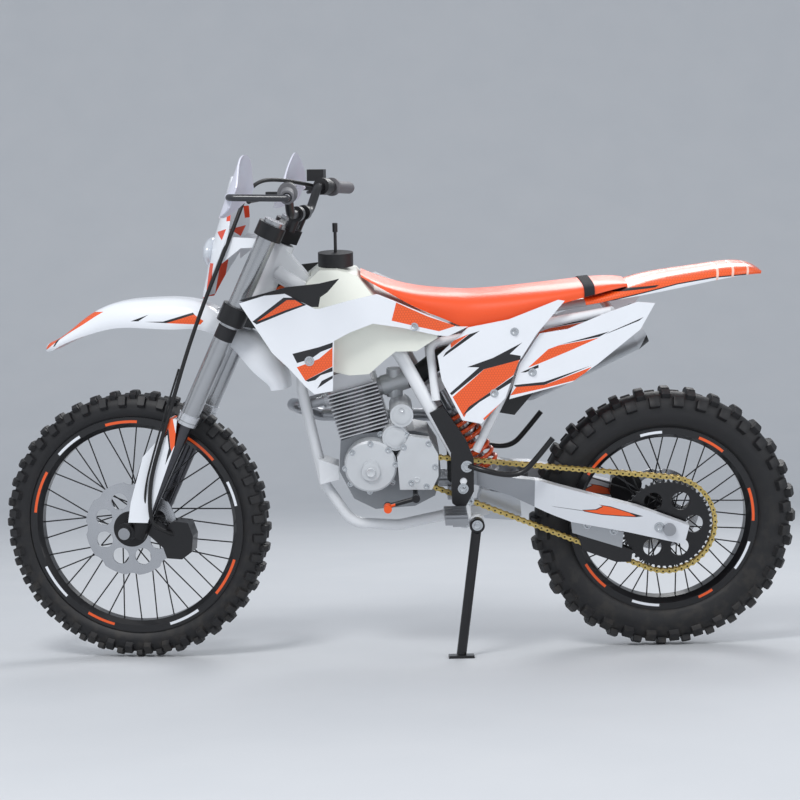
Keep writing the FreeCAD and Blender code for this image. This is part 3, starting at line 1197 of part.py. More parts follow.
def muffler_can(extra=0):
    """An oval can that tapers at the front."""
    start, end = muffler_axis()
    direction = (end - start).normalize()
    over = direction.cross(SIDEWAYS).normalize()
    wires = []
    for share, size in ((0, 0.45), (0.16, 0.95), (0.30, 1), (0.92, 1), (1, 0.86)):
        ring = Part.Ellipse(Vector(0, 0, 0), MUFFLER_HALF_HEIGHT * size + extra, MUFFLER_HALF_WIDTH * size + extra).toShape()
        ring.Placement = FreeCAD.Placement(
            start + (end - start) * share, FreeCAD.Rotation(over, SIDEWAYS, direction, "XYZ"))
        wires.append(Part.Wire(ring))
    return Part.makeLoft(wires, True, True)


def muffler():
    """The can, open at its mouth, from just behind the header's end."""
    start, end = muffler_axis()
    direction = (end - start).normalize()
    mouth = rod(end - direction * MUFFLER_MOUTH_DEPTH, end + direction * OVERRUN, MUFFLER_MOUTH_RADIUS)
    inlet = rod(start - direction * OVERRUN, start + direction * FIT_GAP, MUFFLER_HALF_HEIGHT)
    return muffler_can().cut([mouth, inlet])


def airbox():
    """Air filter housing between the side panels, with the boot to the carburettor."""
    half = SUBFRAME_SIDE - SUBFRAME_RADIUS - FIT_GAP
    housing = plate(spread(AIRBOX, AIRBOX_SHARES), -half, half)
    start = cylinder_place(CYLINDER_HALF_LENGTH + PORT_LENGTH / 2 + FIT_GAP * 2 + CARBURETTOR_LENGTH, PORT_HEIGHT)
    elbow = Vector(BOOT_TOP_X, 0, BOOT_TOP_Z)
    rearward = (start - cylinder_place(0, PORT_HEIGHT)).normalize()
    boot = tube([start, start + rearward * BOOT_RADIUS, elbow, Vector(AIRBOX.x + OVERRUN * 3, 0, BOOT_TOP_Z)], BOOT_RADIUS, BOOT_RADIUS * 2)
    return fuse([housing, boot])


def fuel_tank():
    """A saddle tank that hangs down outside the spars, with a flat-sided lower lobe each side."""
    outline = spread(TANK_SIDE, TANK_SHARES)
    slab = plate(outline, -TANK_HALF_WIDTH, TANK_HALF_WIDTH)
    low = TANK_SIDE.z
    high = TANK_SIDE.z + TANK_SIDE.height
    knee = low + TANK_SIDE.height * 0.55

    def section(x):
        points = [(-TANK_HALF_WIDTH, low - OVERRUN), (-TANK_HALF_WIDTH, knee), (-TANK_TOP_HALF, high + OVERRUN),
                  (TANK_TOP_HALF, high + OVERRUN), (TANK_HALF_WIDTH, knee), (TANK_HALF_WIDTH, low - OVERRUN)]
        return Part.makePolygon([Vector(x, y, z) for y, z in points + points[:1]])

    body = Part.Face(section(TANK_SIDE.x - OVERRUN)).extrude(Vector(TANK_SIDE.length + OVERRUN * 2, 0, 0))
    slot_length = GUSSET.x + GUSSET.length + RUN_GAP - TANK_SIDE.x + OVERRUN
    slot = Part.makeBox(slot_length, GUSSET_HALF * 2 + OVERRUN, TANK_SIDE.height * 2,
                        Vector(TANK_SIDE.x - OVERRUN, -GUSSET_HALF - OVERRUN / 2, low - OVERRUN))
    tunnel_top = low + TANK_SIDE.height * 0.42
    half = SPAR_SIDE + FRAME_TUBE_RADIUS
    tunnel = Part.makeBox(TANK_SIDE.length + OVERRUN * 2, half * 2, tunnel_top - low + OVERRUN,
                          Vector(TANK_SIDE.x - OVERRUN, -half, low - OVERRUN))
    return slab.common(body).cut([tunnel, slot, spar(RUN_GAP), mirrored(spar(RUN_GAP))])


def tank_cap():
    """The filler cap with its breather hose and one-way valve."""
    seat_z = TANK_SIDE.z + TANK_SIDE.height + FIT_GAP
    foot = Vector(CAP_X, 0, seat_z)
    knob = Part.makeCylinder(CAP_RADIUS, CAP_HEIGHT, foot, Vector(0, 0, 1))
    hose = Part.makeCylinder(BREATHER_RADIUS, BREATHER_HEIGHT + OVERRUN, foot + Vector(0, 0, CAP_HEIGHT - OVERRUN),
                             Vector(0, 0, 1))
    valve = Part.makeCylinder(VALVE_RADIUS, VALVE_HEIGHT, foot + Vector(0, 0, CAP_HEIGHT + BREATHER_HEIGHT - VALVE_HEIGHT / 2),
                              Vector(0, 0, 1))
    return fuse([knob, hose, valve])


def seat_section(x, top, low, half_width):
    height = top - low
    points = []
    for across, up in ((-1, 0), (-0.99, 0.4), (-0.87, 0.8), (-0.5, 0.97), (0, 1), (0.5, 0.97), (0.87, 0.8), (0.99, 0.4), (1, 0)):
        points.append(Vector(x, across * half_width, low + up * height))
    crown = Part.BSplineCurve()
    crown.interpolate(points)
    base = Part.LineSegment(points[-1], points[0])
    return Part.Wire([crown.toShape(), base.toShape()])


def seat():
    """The long one-piece seat."""
    return Part.makeLoft([seat_section(*station) for station in SEAT_STATIONS], True, False)


def bowed_slab(box, sides, lean, inset, wall):
    """A curved upright wall, given its distance out at the front, middle and back, that leans in upwards."""
    front, middle, back = sides

    def curve(z, depth):
        shift = lean * (z - box.z) / box.height + depth
        return Part.Arc(
            Vector(box.x - OVERRUN, front - shift, z), Vector(box.x + box.length / 2, middle - shift, z),
            Vector(box.x + box.length + OVERRUN, back - shift, z)).toShape()

    def section(z):
        outer = curve(z, inset)
        inner = curve(z, inset + wall)
        first = Part.LineSegment(outer.Vertexes[0].Point, inner.Vertexes[0].Point).toShape()
        last = Part.LineSegment(outer.Vertexes[1].Point, inner.Vertexes[1].Point).toShape()
        return Part.Wire([outer, last, inner, first])

    return Part.makeLoft([section(box.z - OVERRUN), section(box.z + box.height + OVERRUN * 20)], True, True)


def panel(box, shares, sides, lean):
    """A thin bowed cover with this outline, on the right."""
    slab = bowed_slab(box, sides, lean, 0, PANEL_WALL)
    return slab.common(plate(spread(box, shares), 0, max(sides) + OVERRUN))


def boss(x, z, near, box, sides, lean, radius=BOSS_RADIUS):
    """A pin from a carrier's flank out into the wall of the cover."""
    pin = cross_rod(x, z, near, max(sides), radius)
    return pin.common(bowed_slab(box, sides, lean, PANEL_WALL / 4, max(sides)))


SHROUD_SIDES = (SHROUD_FRONT_SIDE, SHROUD_WIDE_SIDE, SHROUD_BACK_SIDE)
SHROUD_LEAN = 10.0
PANEL_LEAN = 15.0


def shrouds():
    """Wide covers beside the tank, each on three pins from it."""
    cover = panel(SHROUD, SHROUD_SHARES, SHROUD_SIDES, SHROUD_LEAN)
    pins = [boss(x, z, TANK_HALF_WIDTH + FIT_GAP, SHROUD, SHROUD_SIDES, SHROUD_LEAN) for x, z in SHROUD_BOSSES]
    return pair(fuse([cover] + pins))


def shroud_vents():
    """Louvred inserts just inside the shrouds' front upper edges."""
    slab = bowed_slab(SHROUD, SHROUD_SIDES, SHROUD_LEAN, PANEL_WALL + FIT_GAP, PANEL_WALL)
    return pair(slab.common(plate(spread(VENT, VENT_SHARES), 0, SHROUD_WIDE_SIDE)))


def rail_height(x):
    share = (x - SUBFRAME_TOP_X) / (SUBFRAME_END_X - SUBFRAME_TOP_X)
    return SUBFRAME_TOP_Z + (SUBFRAME_END_Z - SUBFRAME_TOP_Z) * share


def side_panels():
    """Front side covers, each pinned to the subframe's rail."""
    edge = SIDE_PANEL_SIDE - OVERRUN
    sides = (edge, SIDE_PANEL_SIDE, edge)
    cover = panel(SIDE_PANEL, SIDE_PANEL_SHARES, sides, PANEL_LEAN)
    near = SUBFRAME_SIDE + SUBFRAME_RADIUS + FIT_GAP
    pin = boss(SIDE_BOSS_X, rail_height(SIDE_BOSS_X), near, SIDE_PANEL, sides, PANEL_LEAN)
    return pair(fuse([cover, pin]))


def tail_panels():
    """Rear side covers, pinned to the rail's end; the right one is cut away round the muffler."""
    sides = (TAIL_PANEL_SIDE, TAIL_PANEL_SIDE, TAIL_PANEL_SIDE - OVERRUN * 2)
    cover = panel(TAIL_PANEL, TAIL_PANEL_SHARES, sides, PANEL_LEAN)
    near = SUBFRAME_SIDE + SUBFRAME_RADIUS + FIT_GAP
    pin = boss(TAIL_BOSS_X, rail_height(TAIL_BOSS_X) - TAIL_BOSS_DROP, near, TAIL_PANEL, sides, PANEL_LEAN, TAIL_BOSS_RADIUS)
    whole = fuse([cover, pin])
    right = whole.cut(muffler_can(MUFFLER_CLEARANCE))
    right = max(right.Solids, key=lambda piece: piece.Volume)
    return Part.makeCompound([mirrored(whole), right])


def rear_fender():
    low = rail_height(SUBFRAME_END_X) + SUBFRAME_RADIUS + FIT_GAP
    foot = Part.makeCylinder(BOSS_RADIUS, REAR_FENDER_BOSS_TOP - low, Vector(SUBFRAME_END_X, 0, low), Vector(0, 0, 1))
    return fuse([channel(REAR_FENDER_STATIONS, FENDER_WALL), foot])


def shock_line():
    return Vector(SHOCK_TOP_X, 0, SHOCK_TOP_Z), Vector(SHOCK_LOW_X, 0, SHOCK_LOW_Z)


def shock_absorber():
    """Damper body, rod and end eyes."""
    top, low = shock_line()
    middle = top + (low - top) * 0.5
    body = rod(top, middle, SHOCK_BODY_RADIUS)
    stick = rod(middle, low, SHOCK_ROD_RADIUS)
    eyes = [cross_rod(p.x, p.z, -SHOCK_BODY_RADIUS, SHOCK_BODY_RADIUS, SHOCK_BODY_RADIUS * 0.7) for p in (top, low)]
    line = (low - top).normalize()
    collars = []
    for share in SPRING_SPAN_SHARES:
        centre = top + (low - top) * share
        away = -1 if share < 0.5 else 1
        collars.append(rod(centre + line * (away * FIT_GAP), centre + line * (away * OVERRUN * 1.5), SPRING_RADIUS + SPRING_WIRE_RADIUS))
    return fuse([body, stick] + eyes + collars)


def shock_spring():
    """The coil round the damper, plain here as the sleeve that it fills."""
    top, low = shock_line()
    start = top + (low - top) * SPRING_SPAN_SHARES[0]
    end = top + (low - top) * SPRING_SPAN_SHARES[1]
    return rod(start, end, SPRING_RADIUS + SPRING_WIRE_RADIUS).cut(rod(start, end, SPRING_RADIUS - SPRING_WIRE_RADIUS))


def swingarm_beam():
    """One beam: narrow at the pivot, wider where it holds the axle."""
    outline = spread(SWINGARM, SWINGARM_SHARES)
    front_x = SWINGARM.x
    back_x = SWINGARM.x + SWINGARM.length
    knee_x = SWINGARM.x + SWINGARM.length * 0.42
    waist_x = SWINGARM_WAIST_X
    corners = [
        (front_x - OVERRUN, SWINGARM_FRONT_SIDES.near), (waist_x, SWINGARM_FRONT_SIDES.near), (knee_x, SWINGARM_REAR_SIDES.near),
        (back_x + OVERRUN, SWINGARM_REAR_SIDES.near), (back_x + OVERRUN, SWINGARM_REAR_SIDES.far),
        (knee_x, SWINGARM_REAR_SIDES.far), (waist_x, SWINGARM_FRONT_SIDES.far), (front_x - OVERRUN, SWINGARM_FRONT_SIDES.far),
    ]
    low = SWINGARM.z - OVERRUN
    plan = Part.makePolygon([Vector(x, y, low) for x, y in corners + corners[:1]])
    band = Part.Face(plan).extrude(Vector(0, 0, SWINGARM.height + OVERRUN * 2))
    return band.common(plate(outline, 0, SWINGARM_REAR_SIDES.far + OVERRUN))


def swingarm():
    """Both beams, the pivot tube and the brace ahead of the tyre."""
    beam = swingarm_beam()
    pivot = cross_rod(PIVOT_X, PIVOT_Z, -SWINGARM_FRONT_SIDES.far, SWINGARM_FRONT_SIDES.far, PIVOT_RADIUS)
    axle_hole = cross_rod(0, REAR_AXLE.z, -SWINGARM_REAR_SIDES.far - OVERRUN, SWINGARM_REAR_SIDES.far + OVERRUN,
                          REAR_AXLE_RADIUS + FIT_GAP)
    pivot_hole = cross_rod(PIVOT_X, PIVOT_Z, -SPAR_SIDE, SPAR_SIDE, PIVOT_BOLT_RADIUS + FIT_GAP)
    brace = cross_rod(BRACE_X, BRACE_Z, -SWINGARM_REAR_SIDES.near, SWINGARM_REAR_SIDES.near, BRACE_RADIUS)
    return fuse([beam, mirrored(beam), pivot, brace]).cut([axle_hole, pivot_hole])


def rear_axle():
    half = SWINGARM_REAR_SIDES.far + OVERRUN * 2
    spindle = cross_rod(0, REAR_AXLE.z, -half, half, REAR_AXLE_RADIUS)
    ends = [cross_rod(0, REAR_AXLE.z, side * SWINGARM_REAR_SIDES.far + side * FIT_GAP, side * half, REAR_AXLE_RADIUS * 1.6)
            for side in (-1, 1)]
    return fuse([spindle] + ends)


def linkage():
    block = plate(spread(LINKAGE, LINKAGE_SHARES), -LINKAGE_HALF, LINKAGE_HALF)
    return block.cut([shock_absorber(), swingarm()])


def chain_guide():
    """Bracket and block that keep the lower run in line with the sprocket."""
    middle = -CHAIN_SIDE
    outer = -SWINGARM_REAR_SIDES.near + FIT_GAP
    bracket = plate(spread(GUIDE_PLATE, GUIDE_PLATE_SHARES), outer, outer + OVERRUN)
    block = plate(spread(GUIDE_BLOCK, GUIDE_BLOCK_SHARES), outer, middle + GUIDE_HALF - RUN_GAP)
    slot = chain_loop(CHAIN_HEIGHT / 2 + RUN_GAP).extrude(Vector(0, CHAIN_WIDTH + RUN_GAP * 2, 0))
    slot.translate(Vector(0, middle - CHAIN_WIDTH / 2 - RUN_GAP, 0))
    wheel_room = cross_rod(0, REAR_AXLE.z, middle - SPROCKET_THICKNESS, middle + SPROCKET_THICKNESS,
                           pitch_radius(REAR_TOOTH_COUNT) + OVERRUN)
    return fuse([bracket, block.cut([slot, wheel_room])]).cut(swingarm())


def rear_caliper():
    far = SWINGARM_REAR_SIDES.near - FIT_GAP
    return caliper(REAR_CALIPER, REAR_DISC_SIDE * 2 - far, far, REAR_DISC_SIDE, REAR_DISC_RADIUS, REAR_AXLE)


def foot_pegs():
    """Two serrated pegs that fold against their brackets."""
    near = PEG_SIDE
    inner = SPAR_SIDE + FRAME_TUBE_RADIUS + FIT_GAP
    bracket = Part.makeBox(PEG_BRACKET_LENGTH, near - inner + OVERRUN, PEG_BRACKET_HEIGHT,
                           Vector(PEG_X - OVERRUN, inner, PEG_Z - PEG_BRACKET_HEIGHT - OVERRUN))
    centre = Vector(PEG_X, near + PEG_REACH / 2, PEG_Z)
    platform = box_around(centre, PEG_LENGTH, PEG_REACH, PEG_HEIGHT)
    teeth = []
    for number in range(PEG_TOOTH_COUNT):
        y = near + PEG_REACH * (number + 0.5) / PEG_TOOTH_COUNT
        teeth.append(box_around(Vector(PEG_X, y, PEG_Z + PEG_HEIGHT / 2 + PEG_TOOTH_HEIGHT / 2 - FIT_GAP),
                                PEG_LENGTH, PEG_TOOTH_HEIGHT / 2, PEG_TOOTH_HEIGHT))
    return pair(fuse([platform, bracket] + teeth))


def foot_controls():
    """Gear lever on the left and brake pedal on the right."""
    near = -CRANKCASE_HALF + CHAIN_WIDTH - FIT_GAP
    gear = foot_lever(GEAR_SHAFT_X, GEAR_SHAFT_Z, GEAR_TIP_X, GEAR_TIP_Z, -near)
    brake = foot_lever(BRAKE_PEDAL_X, BRAKE_PEDAL_Z, BRAKE_TIP_X, BRAKE_TIP_Z, BRAKE_PEDAL_INNER)
    return Part.makeCompound([mirrored(gear), brake])


def foot_lever(x, z, tip_x, tip_z, inner):
    """A lever on a cross shaft, with a round tip that points outwards."""
    shaft = cross_rod(x, z, inner, GEAR_SIDE, LEVER_ROD_RADIUS)
    eye = cross_rod(x, z, GEAR_SIDE - LEVER_ROD_RADIUS - FIT_GAP, GEAR_SIDE + LEVER_ROD_RADIUS + FIT_GAP, PEDAL_TIP_RADIUS)
    arm = rod(Vector(x, GEAR_SIDE, z), Vector(tip_x, GEAR_SIDE, tip_z), LEVER_ROD_RADIUS)
    tip = cross_rod(tip_x, tip_z, GEAR_SIDE - LEVER_ROD_RADIUS - FIT_GAP, GEAR_SIDE + PEDAL_TIP_LENGTH, PEDAL_TIP_RADIUS)
    return fuse([shaft, eye, arm, tip])


# Side stand, modelled where it stands


def side_stand():
    """Leg from the eye at the frame's lug down to the foot that lies flat on the ground."""
    eye_centre = parked_point(Vector(STAND_X, -STAND_SIDE, STAND_Z))
    foot_centre = Vector(STAND_FOOT_X, -STAND_FOOT_OUT, STAND_FOOT_THICKNESS / 2)
    across = parked_direction(SIDEWAYS)
    eye = rod(eye_centre - across * STAND_EYE_THICKNESS, eye_centre + across * (STAND_EYE_THICKNESS - FIT_GAP), STAND_EYE_RADIUS)
    leg = rod(eye_centre, foot_centre + Vector(0, 0, STAND_FOOT_THICKNESS / 2), STAND_RADIUS)
    foot = box_around(foot_centre, STAND_FOOT_LENGTH, STAND_FOOT_WIDTH, STAND_FOOT_THICKNESS)
    under = Part.makeBox(STAND_FOOT_LENGTH * 2, STAND_FOOT_WIDTH * 2, STAND_FOOT_THICKNESS * 4,
                         foot_centre - Vector(STAND_FOOT_LENGTH, STAND_FOOT_WIDTH, STAND_FOOT_THICKNESS * 4.5))
    lug_room = rod(eye_centre + across * (STAND_EYE_THICKNESS - FIT_GAP), eye_centre + across * STAND_EYE_RADIUS * 2,
                   STAND_EYE_RADIUS * 2)
    pin_hole = rod(eye_centre - across * STAND_EYE_RADIUS, eye_centre + across * STAND_EYE_RADIUS, STAND_PIN_RADIUS + PIN_GAP)
    head_room = rod(eye_centre - across * STAND_EYE_RADIUS * 2, eye_centre - across * STAND_EYE_THICKNESS, STAND_EYE_RADIUS)
    return fuse([eye, leg, foot]).cut([under, lug_room, pin_hole, head_room])


def parked_point(point):
    """A point of the upright machine where it is once the machine leans on its stand."""
    return FreeCAD.Rotation(Vector(1, 0, 0), LEAN_ANGLE).multVec(point)


def parked_direction(direction):
    return FreeCAD.Rotation(Vector(1, 0, 0), LEAN_ANGLE).multVec(direction)


def lean_over(shape):
    placed = shape.copy()
    placed.rotate(Vector(0, 0, 0), Vector(1, 0, 0), LEAN_ANGLE)
    return placed


def turn_bars(shape):
    placed = shape.copy()
    placed.rotate(STEERING_POINT, UP, -STEER_ANGLE)
    return lean_over(placed)


def front_wheel_pieces():
    hoop = rim(FRONT_RIM_RADIUS, FRONT_RIM_WIDTH, FRONT_AXLE)
    shell = hub(FRONT_AXLE, FRONT_HUB_HALF, FRONT_AXLE_RADIUS)
    return {
        "front_tyre": tyre(FRONT_TYRE_RADIUS, FRONT_TYRE_WIDTH, FRONT_RIM_RADIUS, FRONT_RIM_WIDTH, FRONT_AXLE),
        "front_rim": hoop,
        "front_hub": shell,
        "front_spokes": Part.makeCompound([bar.cut([shell, hoop]) for bar in spokes(FRONT_SPOKE_COUNT, FRONT_RIM_RADIUS, FRONT_AXLE)]),
        "front_disc": brake_disc(FRONT_DISC_RADIUS, -FRONT_DISC_SIDE, FRONT_AXLE),
    }


def rear_wheel_pieces():
    hoop = rim(REAR_RIM_RADIUS, REAR_RIM_WIDTH, REAR_AXLE)
    shell = hub(REAR_AXLE, REAR_HUB_HALF, REAR_AXLE_RADIUS)
    return {
        "rear_tyre": tyre(REAR_TYRE_RADIUS, REAR_TYRE_WIDTH, REAR_RIM_RADIUS, REAR_RIM_WIDTH, REAR_AXLE),
        "rear_rim": hoop,
        "rear_hub": shell,
        "rear_spokes": Part.makeCompound([bar.cut([shell, hoop]) for bar in spokes(REAR_SPOKE_COUNT, REAR_RIM_RADIUS, REAR_AXLE)]),
        "rear_disc": brake_disc(REAR_DISC_RADIUS, REAR_DISC_SIDE, REAR_AXLE),
        "rear_sprocket": sprocket(
            REAR_TOOTH_COUNT, 0, REAR_AXLE.z, HUB_END_RADIUS + FIT_GAP, SPROCKET_WINDOW_COUNT),
    }


def steering_pieces():
    return {
        "fork_tubes": fork_tubes(),
        "fork_sliders": fork_sliders(),
        "fork_clamps": fork_clamps(),
        "handlebar": handlebar(),
        "grips": grips(),
        "bar_controls": bar_controls(),
        "hand_guards": hand_guards(),
        "headlight_mask": headlight_mask(),
        "headlight_lens": headlight_lens(),
        "front_fender": front_fender(),
        "fork_guards": fork_guards(),
        "front_caliper": front_caliper(),
        "front_axle": front_axle(),
    }


def frame_pieces():
    return {
        "main_frame": main_frame(),
        "subframe": subframe(),
        "frame_guards": frame_guards(),
        "crankcase": crankcase(),
        "engine_covers": engine_covers(),
        "cylinder": cylinder(),
        "starter_motor": starter_motor(),
        "carburettor": carburettor(),
        "exhaust_pipe": exhaust_pipe(),
        "muffler": muffler(),
        "airbox": airbox(),
        "fuel_tank": fuel_tank(),
        "tank_cap": tank_cap(),
        "seat": seat(),
        "shrouds": shrouds(),
        "shroud_vents": shroud_vents(),
        "side_panels": side_panels(),
        "tail_panels": tail_panels(),
        "rear_fender": rear_fender(),
        "shock_absorber": shock_absorber(),
        "shock_spring": shock_spring(),
        "swingarm": swingarm(),
        "rear_axle": rear_axle(),
        "linkage": linkage(),
        "chain": chain(),
        "chain_guide": chain_guide(),
        "rear_caliper": rear_caliper(),
        "foot_pegs": foot_pegs(),
        "foot_controls": foot_controls(),
    }


def placed_pieces():
    """Every piece where it is on the parked machine, with the origin under the middle of it all."""
    placed = {}
    for name, shape in list(frame_pieces().items()) + list(rear_wheel_pieces().items()):
        placed[name] = lean_over(shape)
    for name, shape in list(steering_pieces().items()) + list(front_wheel_pieces().items()):
        placed[name] = turn_bars(shape)
    placed["side_stand"] = side_stand()
    whole = Part.makeCompound(list(placed.values())).optimalBoundingBox(False)
    shift = Vector(-(whole.XMin + whole.XMax) / 2, -(whole.YMin + whole.YMax) / 2, -whole.ZMin)
    for shape in placed.values():
        shape.translate(shift)
    return placed, shift


def main():
    os.makedirs("parts", exist_ok=True)
    placed, shift = placed_pieces()
    for name, shape in placed.items():
        shape.exportStep(f"parts/{name}.step")
        print(name, len(shape.Solids), round(shape.Volume / 1000), "cm3", "valid" if shape.isValid() else "INVALID")
    print("shift", shift)


if __name__ == "__main__":
    main()
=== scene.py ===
"""Looks of an air-cooled enduro motorcycle, parked on its side stand with the bars turned to the right.

Shapes are worked out in millimetres in the machine's own upright frame: X runs back from the rear axle,
Y to the rider's right and Z up from the ground. Stance turns them into metres of the parked machine.
"""
import json
import logging
import math
from dataclasses import dataclass
from enum import Enum

import bpy
import numpy as np
from mathutils import Euler, Matrix, Vector
from mathutils.bvhtree import BVHTree

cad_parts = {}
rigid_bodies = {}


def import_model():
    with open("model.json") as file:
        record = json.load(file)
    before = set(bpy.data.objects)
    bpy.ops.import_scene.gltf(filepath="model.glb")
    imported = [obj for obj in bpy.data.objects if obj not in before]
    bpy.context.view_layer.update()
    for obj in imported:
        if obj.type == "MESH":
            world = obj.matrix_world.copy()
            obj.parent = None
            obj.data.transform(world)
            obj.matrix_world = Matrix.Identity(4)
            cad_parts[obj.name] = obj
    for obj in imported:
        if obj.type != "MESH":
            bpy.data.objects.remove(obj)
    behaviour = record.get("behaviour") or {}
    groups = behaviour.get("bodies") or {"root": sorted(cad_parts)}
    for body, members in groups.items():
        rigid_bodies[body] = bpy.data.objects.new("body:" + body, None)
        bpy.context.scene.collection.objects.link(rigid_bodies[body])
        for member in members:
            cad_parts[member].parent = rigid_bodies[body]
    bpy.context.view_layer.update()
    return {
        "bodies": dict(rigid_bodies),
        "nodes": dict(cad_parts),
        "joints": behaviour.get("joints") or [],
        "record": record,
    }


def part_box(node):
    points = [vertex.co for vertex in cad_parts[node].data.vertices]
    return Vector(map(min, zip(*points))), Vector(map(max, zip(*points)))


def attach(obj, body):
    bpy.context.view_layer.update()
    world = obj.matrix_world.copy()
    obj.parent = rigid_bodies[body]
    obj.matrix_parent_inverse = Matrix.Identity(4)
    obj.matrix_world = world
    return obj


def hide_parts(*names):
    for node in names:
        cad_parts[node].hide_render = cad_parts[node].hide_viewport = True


LOG = logging.getLogger("enduro")
TAU = 2 * math.pi
MM = 0.001
ACROSS = np.array(((1, 0, 0), (0, 0, 1), (0, 1, 0)))
PAINT_EDGE = (-0.2, 0.3)
FRONT_RIM_RADIUS = 280.5
REAR_RIM_RADIUS = 242.5


class Body(Enum):
    """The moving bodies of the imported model."""

    FRAME = "frame"
    STEERING = "steering"
    FRONT_WHEEL = "front_wheel"
    REAR_WHEEL = "rear_wheel"
    STAND = "side_stand"


# Placing


@dataclass(frozen=True)
class Placing:
    """A turn and a shift from the upright machine, in millimetres, to the parked one, in metres."""

    turn: np.ndarray
    shift: np.ndarray

    def points(self, spots: np.ndarray) -> np.ndarray:
        """Returns the parked places of these upright points."""
        return np.asarray(spots, float) * MM @ self.turn.T + self.shift

    def euler(self) -> Euler:
        """Returns the turn as angles about X, Y and Z."""
        return Matrix(self.turn.tolist()).to_euler()


class Stance:
    """How the parked machine stands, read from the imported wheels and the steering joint."""

    lean = math.radians(12.0)
    steer = math.radians(11.0)
    rake = math.radians(25.0)

    def __init__(self, joints: list) -> None:
        """Works out both placings.

        Args:
            joints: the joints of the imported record.
        """
        low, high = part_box("rear_hub")
        axle = np.array((low + high) / 2)
        self.axle_height = axle[2] / math.cos(self.lean) / MM
        upright = Matrix.Rotation(self.lean, 3, "X")
        shift = axle - np.array(upright @ Vector((0, 0, self.axle_height * MM)))
        self.frame = Placing(np.array(upright), shift)
        joint = next(j for j in joints if j["name"] == "steering")
        pivot = np.array(joint["pos_m"])
        swing = np.array(Matrix.Rotation(-self.steer, 3, Vector(joint["axis"])))
        self.steering = Placing(swing @ self.frame.turn, swing @ (shift - pivot) + pivot)
        low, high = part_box("front_hub")
        hub = np.array((low + high) / 2)
        self.front_axle = (hub - self.steering.shift) @ self.steering.turn / MM
        self.rear_axle = np.array((0, 0, self.axle_height))
        self.up = np.array((math.sin(self.rake), 0, math.cos(self.rake)))
        self.ahead = np.array((-math.cos(self.rake), 0, math.sin(self.rake)))

    def placing(self, body: Body) -> Placing:
        """Returns the placing of what rides on this body."""
        return self.steering if body in (Body.STEERING, Body.FRONT_WHEEL) else self.frame

    def fork(self, along: float, ahead: float, side: float = 0) -> np.ndarray:
        """Returns a point of the straight steering.

        Args:
            along: height up the steering axis from the axle's level.
            ahead: distance ahead of the steering axis.
            side: distance to the rider's right.
        """
        offset = 54.0
        return self.front_axle + self.up * along + self.ahead * (ahead - offset) + np.array((0, side, 0))


# Meshes as whole arrays


@dataclass
class Shell:
    """Points and faces of a piece, before it is placed."""

    points: np.ndarray
    faces: list

    @staticmethod
    def join(shells: list) -> "Shell":
        """Returns one shell that holds them all."""
        faces, base = [], 0
        for shell in shells:
            faces += [[base + corner for corner in face] for face in shell.faces]
            base += len(shell.points)
        return Shell(np.concatenate([shell.points for shell in shells]), faces)

    def moved(self, turn: np.ndarray, shift: np.ndarray) -> "Shell":
        """Returns a copy turned by a matrix whose columns are its new axes, then shifted."""
        return Shell(self.points @ np.asarray(turn, float).T + np.asarray(shift, float), self.faces)

    def repeated(self, frames: np.ndarray, places: np.ndarray) -> "Shell":
        """Returns copies of the shell.

        Args:
            frames: one matrix for each copy, its columns the copy's axes.
            places: one origin for each copy.
        """
        many = np.einsum("nij,pj->npi", frames, self.points) + np.asarray(places)[:, None, :]
        starts = [len(self.points) * copy for copy in range(len(frames))]
        faces = [[start + corner for corner in face] for start in starts for face in self.faces]
        return Shell(many.reshape(-1, 3), faces)


def lattice(rows: int, columns: int, closed_rows: bool = False, closed_columns: bool = False) -> list:
    """Returns the four-sided faces between the points of a grid, row by row."""
    up = np.arange(rows if closed_rows else rows - 1)
    across = np.arange(columns if closed_columns else columns - 1)
    i, j = np.meshgrid(up, across, indexing="ij")
    k, m = (i + 1) % rows, (j + 1) % columns
    corners = np.stack([i * columns + j, i * columns + m, k * columns + m, k * columns + j], -1)
    return corners.reshape(-1, 4).tolist()


def grid_shell(points: np.ndarray, closed_rows: bool = False, closed_columns: bool = False,
               capped: bool = False) -> Shell:
    """Returns the shell over a grid of points, with its end rows closed as flat faces if capped."""
    rows, columns = points.shape[:2]
    faces = lattice(rows, columns, closed_rows, closed_columns)
    if capped:
        faces.append(list(range(columns))[::-1])
        faces.append(list(range((rows - 1) * columns, rows * columns)))
    return Shell(points.reshape(-1, 3), faces)


def even_turns(count: int) -> np.ndarray:
    """Returns this many angles, evenly round a full turn."""
    return np.linspace(0, TAU, count, endpoint=False)


def circle(turn: np.ndarray) -> np.ndarray:
    """Returns the points at these angles on a circle of radius 1."""
    return np.stack([np.cos(turn), np.sin(turn)], -1)


def sweep(path: np.ndarray, radius: float, sides: int = 12, capped: bool = True) -> Shell:
    """Returns a round tube along a path, its rings carried along without twist."""
    path = np.asarray(path, float)
    along = np.gradient(path, axis=0)
    along /= np.linalg.norm(along, axis=1)[:, None]
    first = np.cross(along[0], (0.3, 0.2, 0.9))
    rings = []
    for direction in along:
        first = first - direction * (first @ direction)
        first /= np.linalg.norm(first)
        rings.append(first)
    first = np.array(rings)
    second = np.cross(along, first)
    turn = even_turns(sides)
    size = np.broadcast_to(np.asarray(radius, float), (len(path),))[:, None, None]
    ring = first[:, None] * np.cos(turn)[None, :, None] + second[:, None] * np.sin(turn)[None, :, None]
    return grid_shell(path[:, None] + ring * size, closed_columns=True, capped=capped)


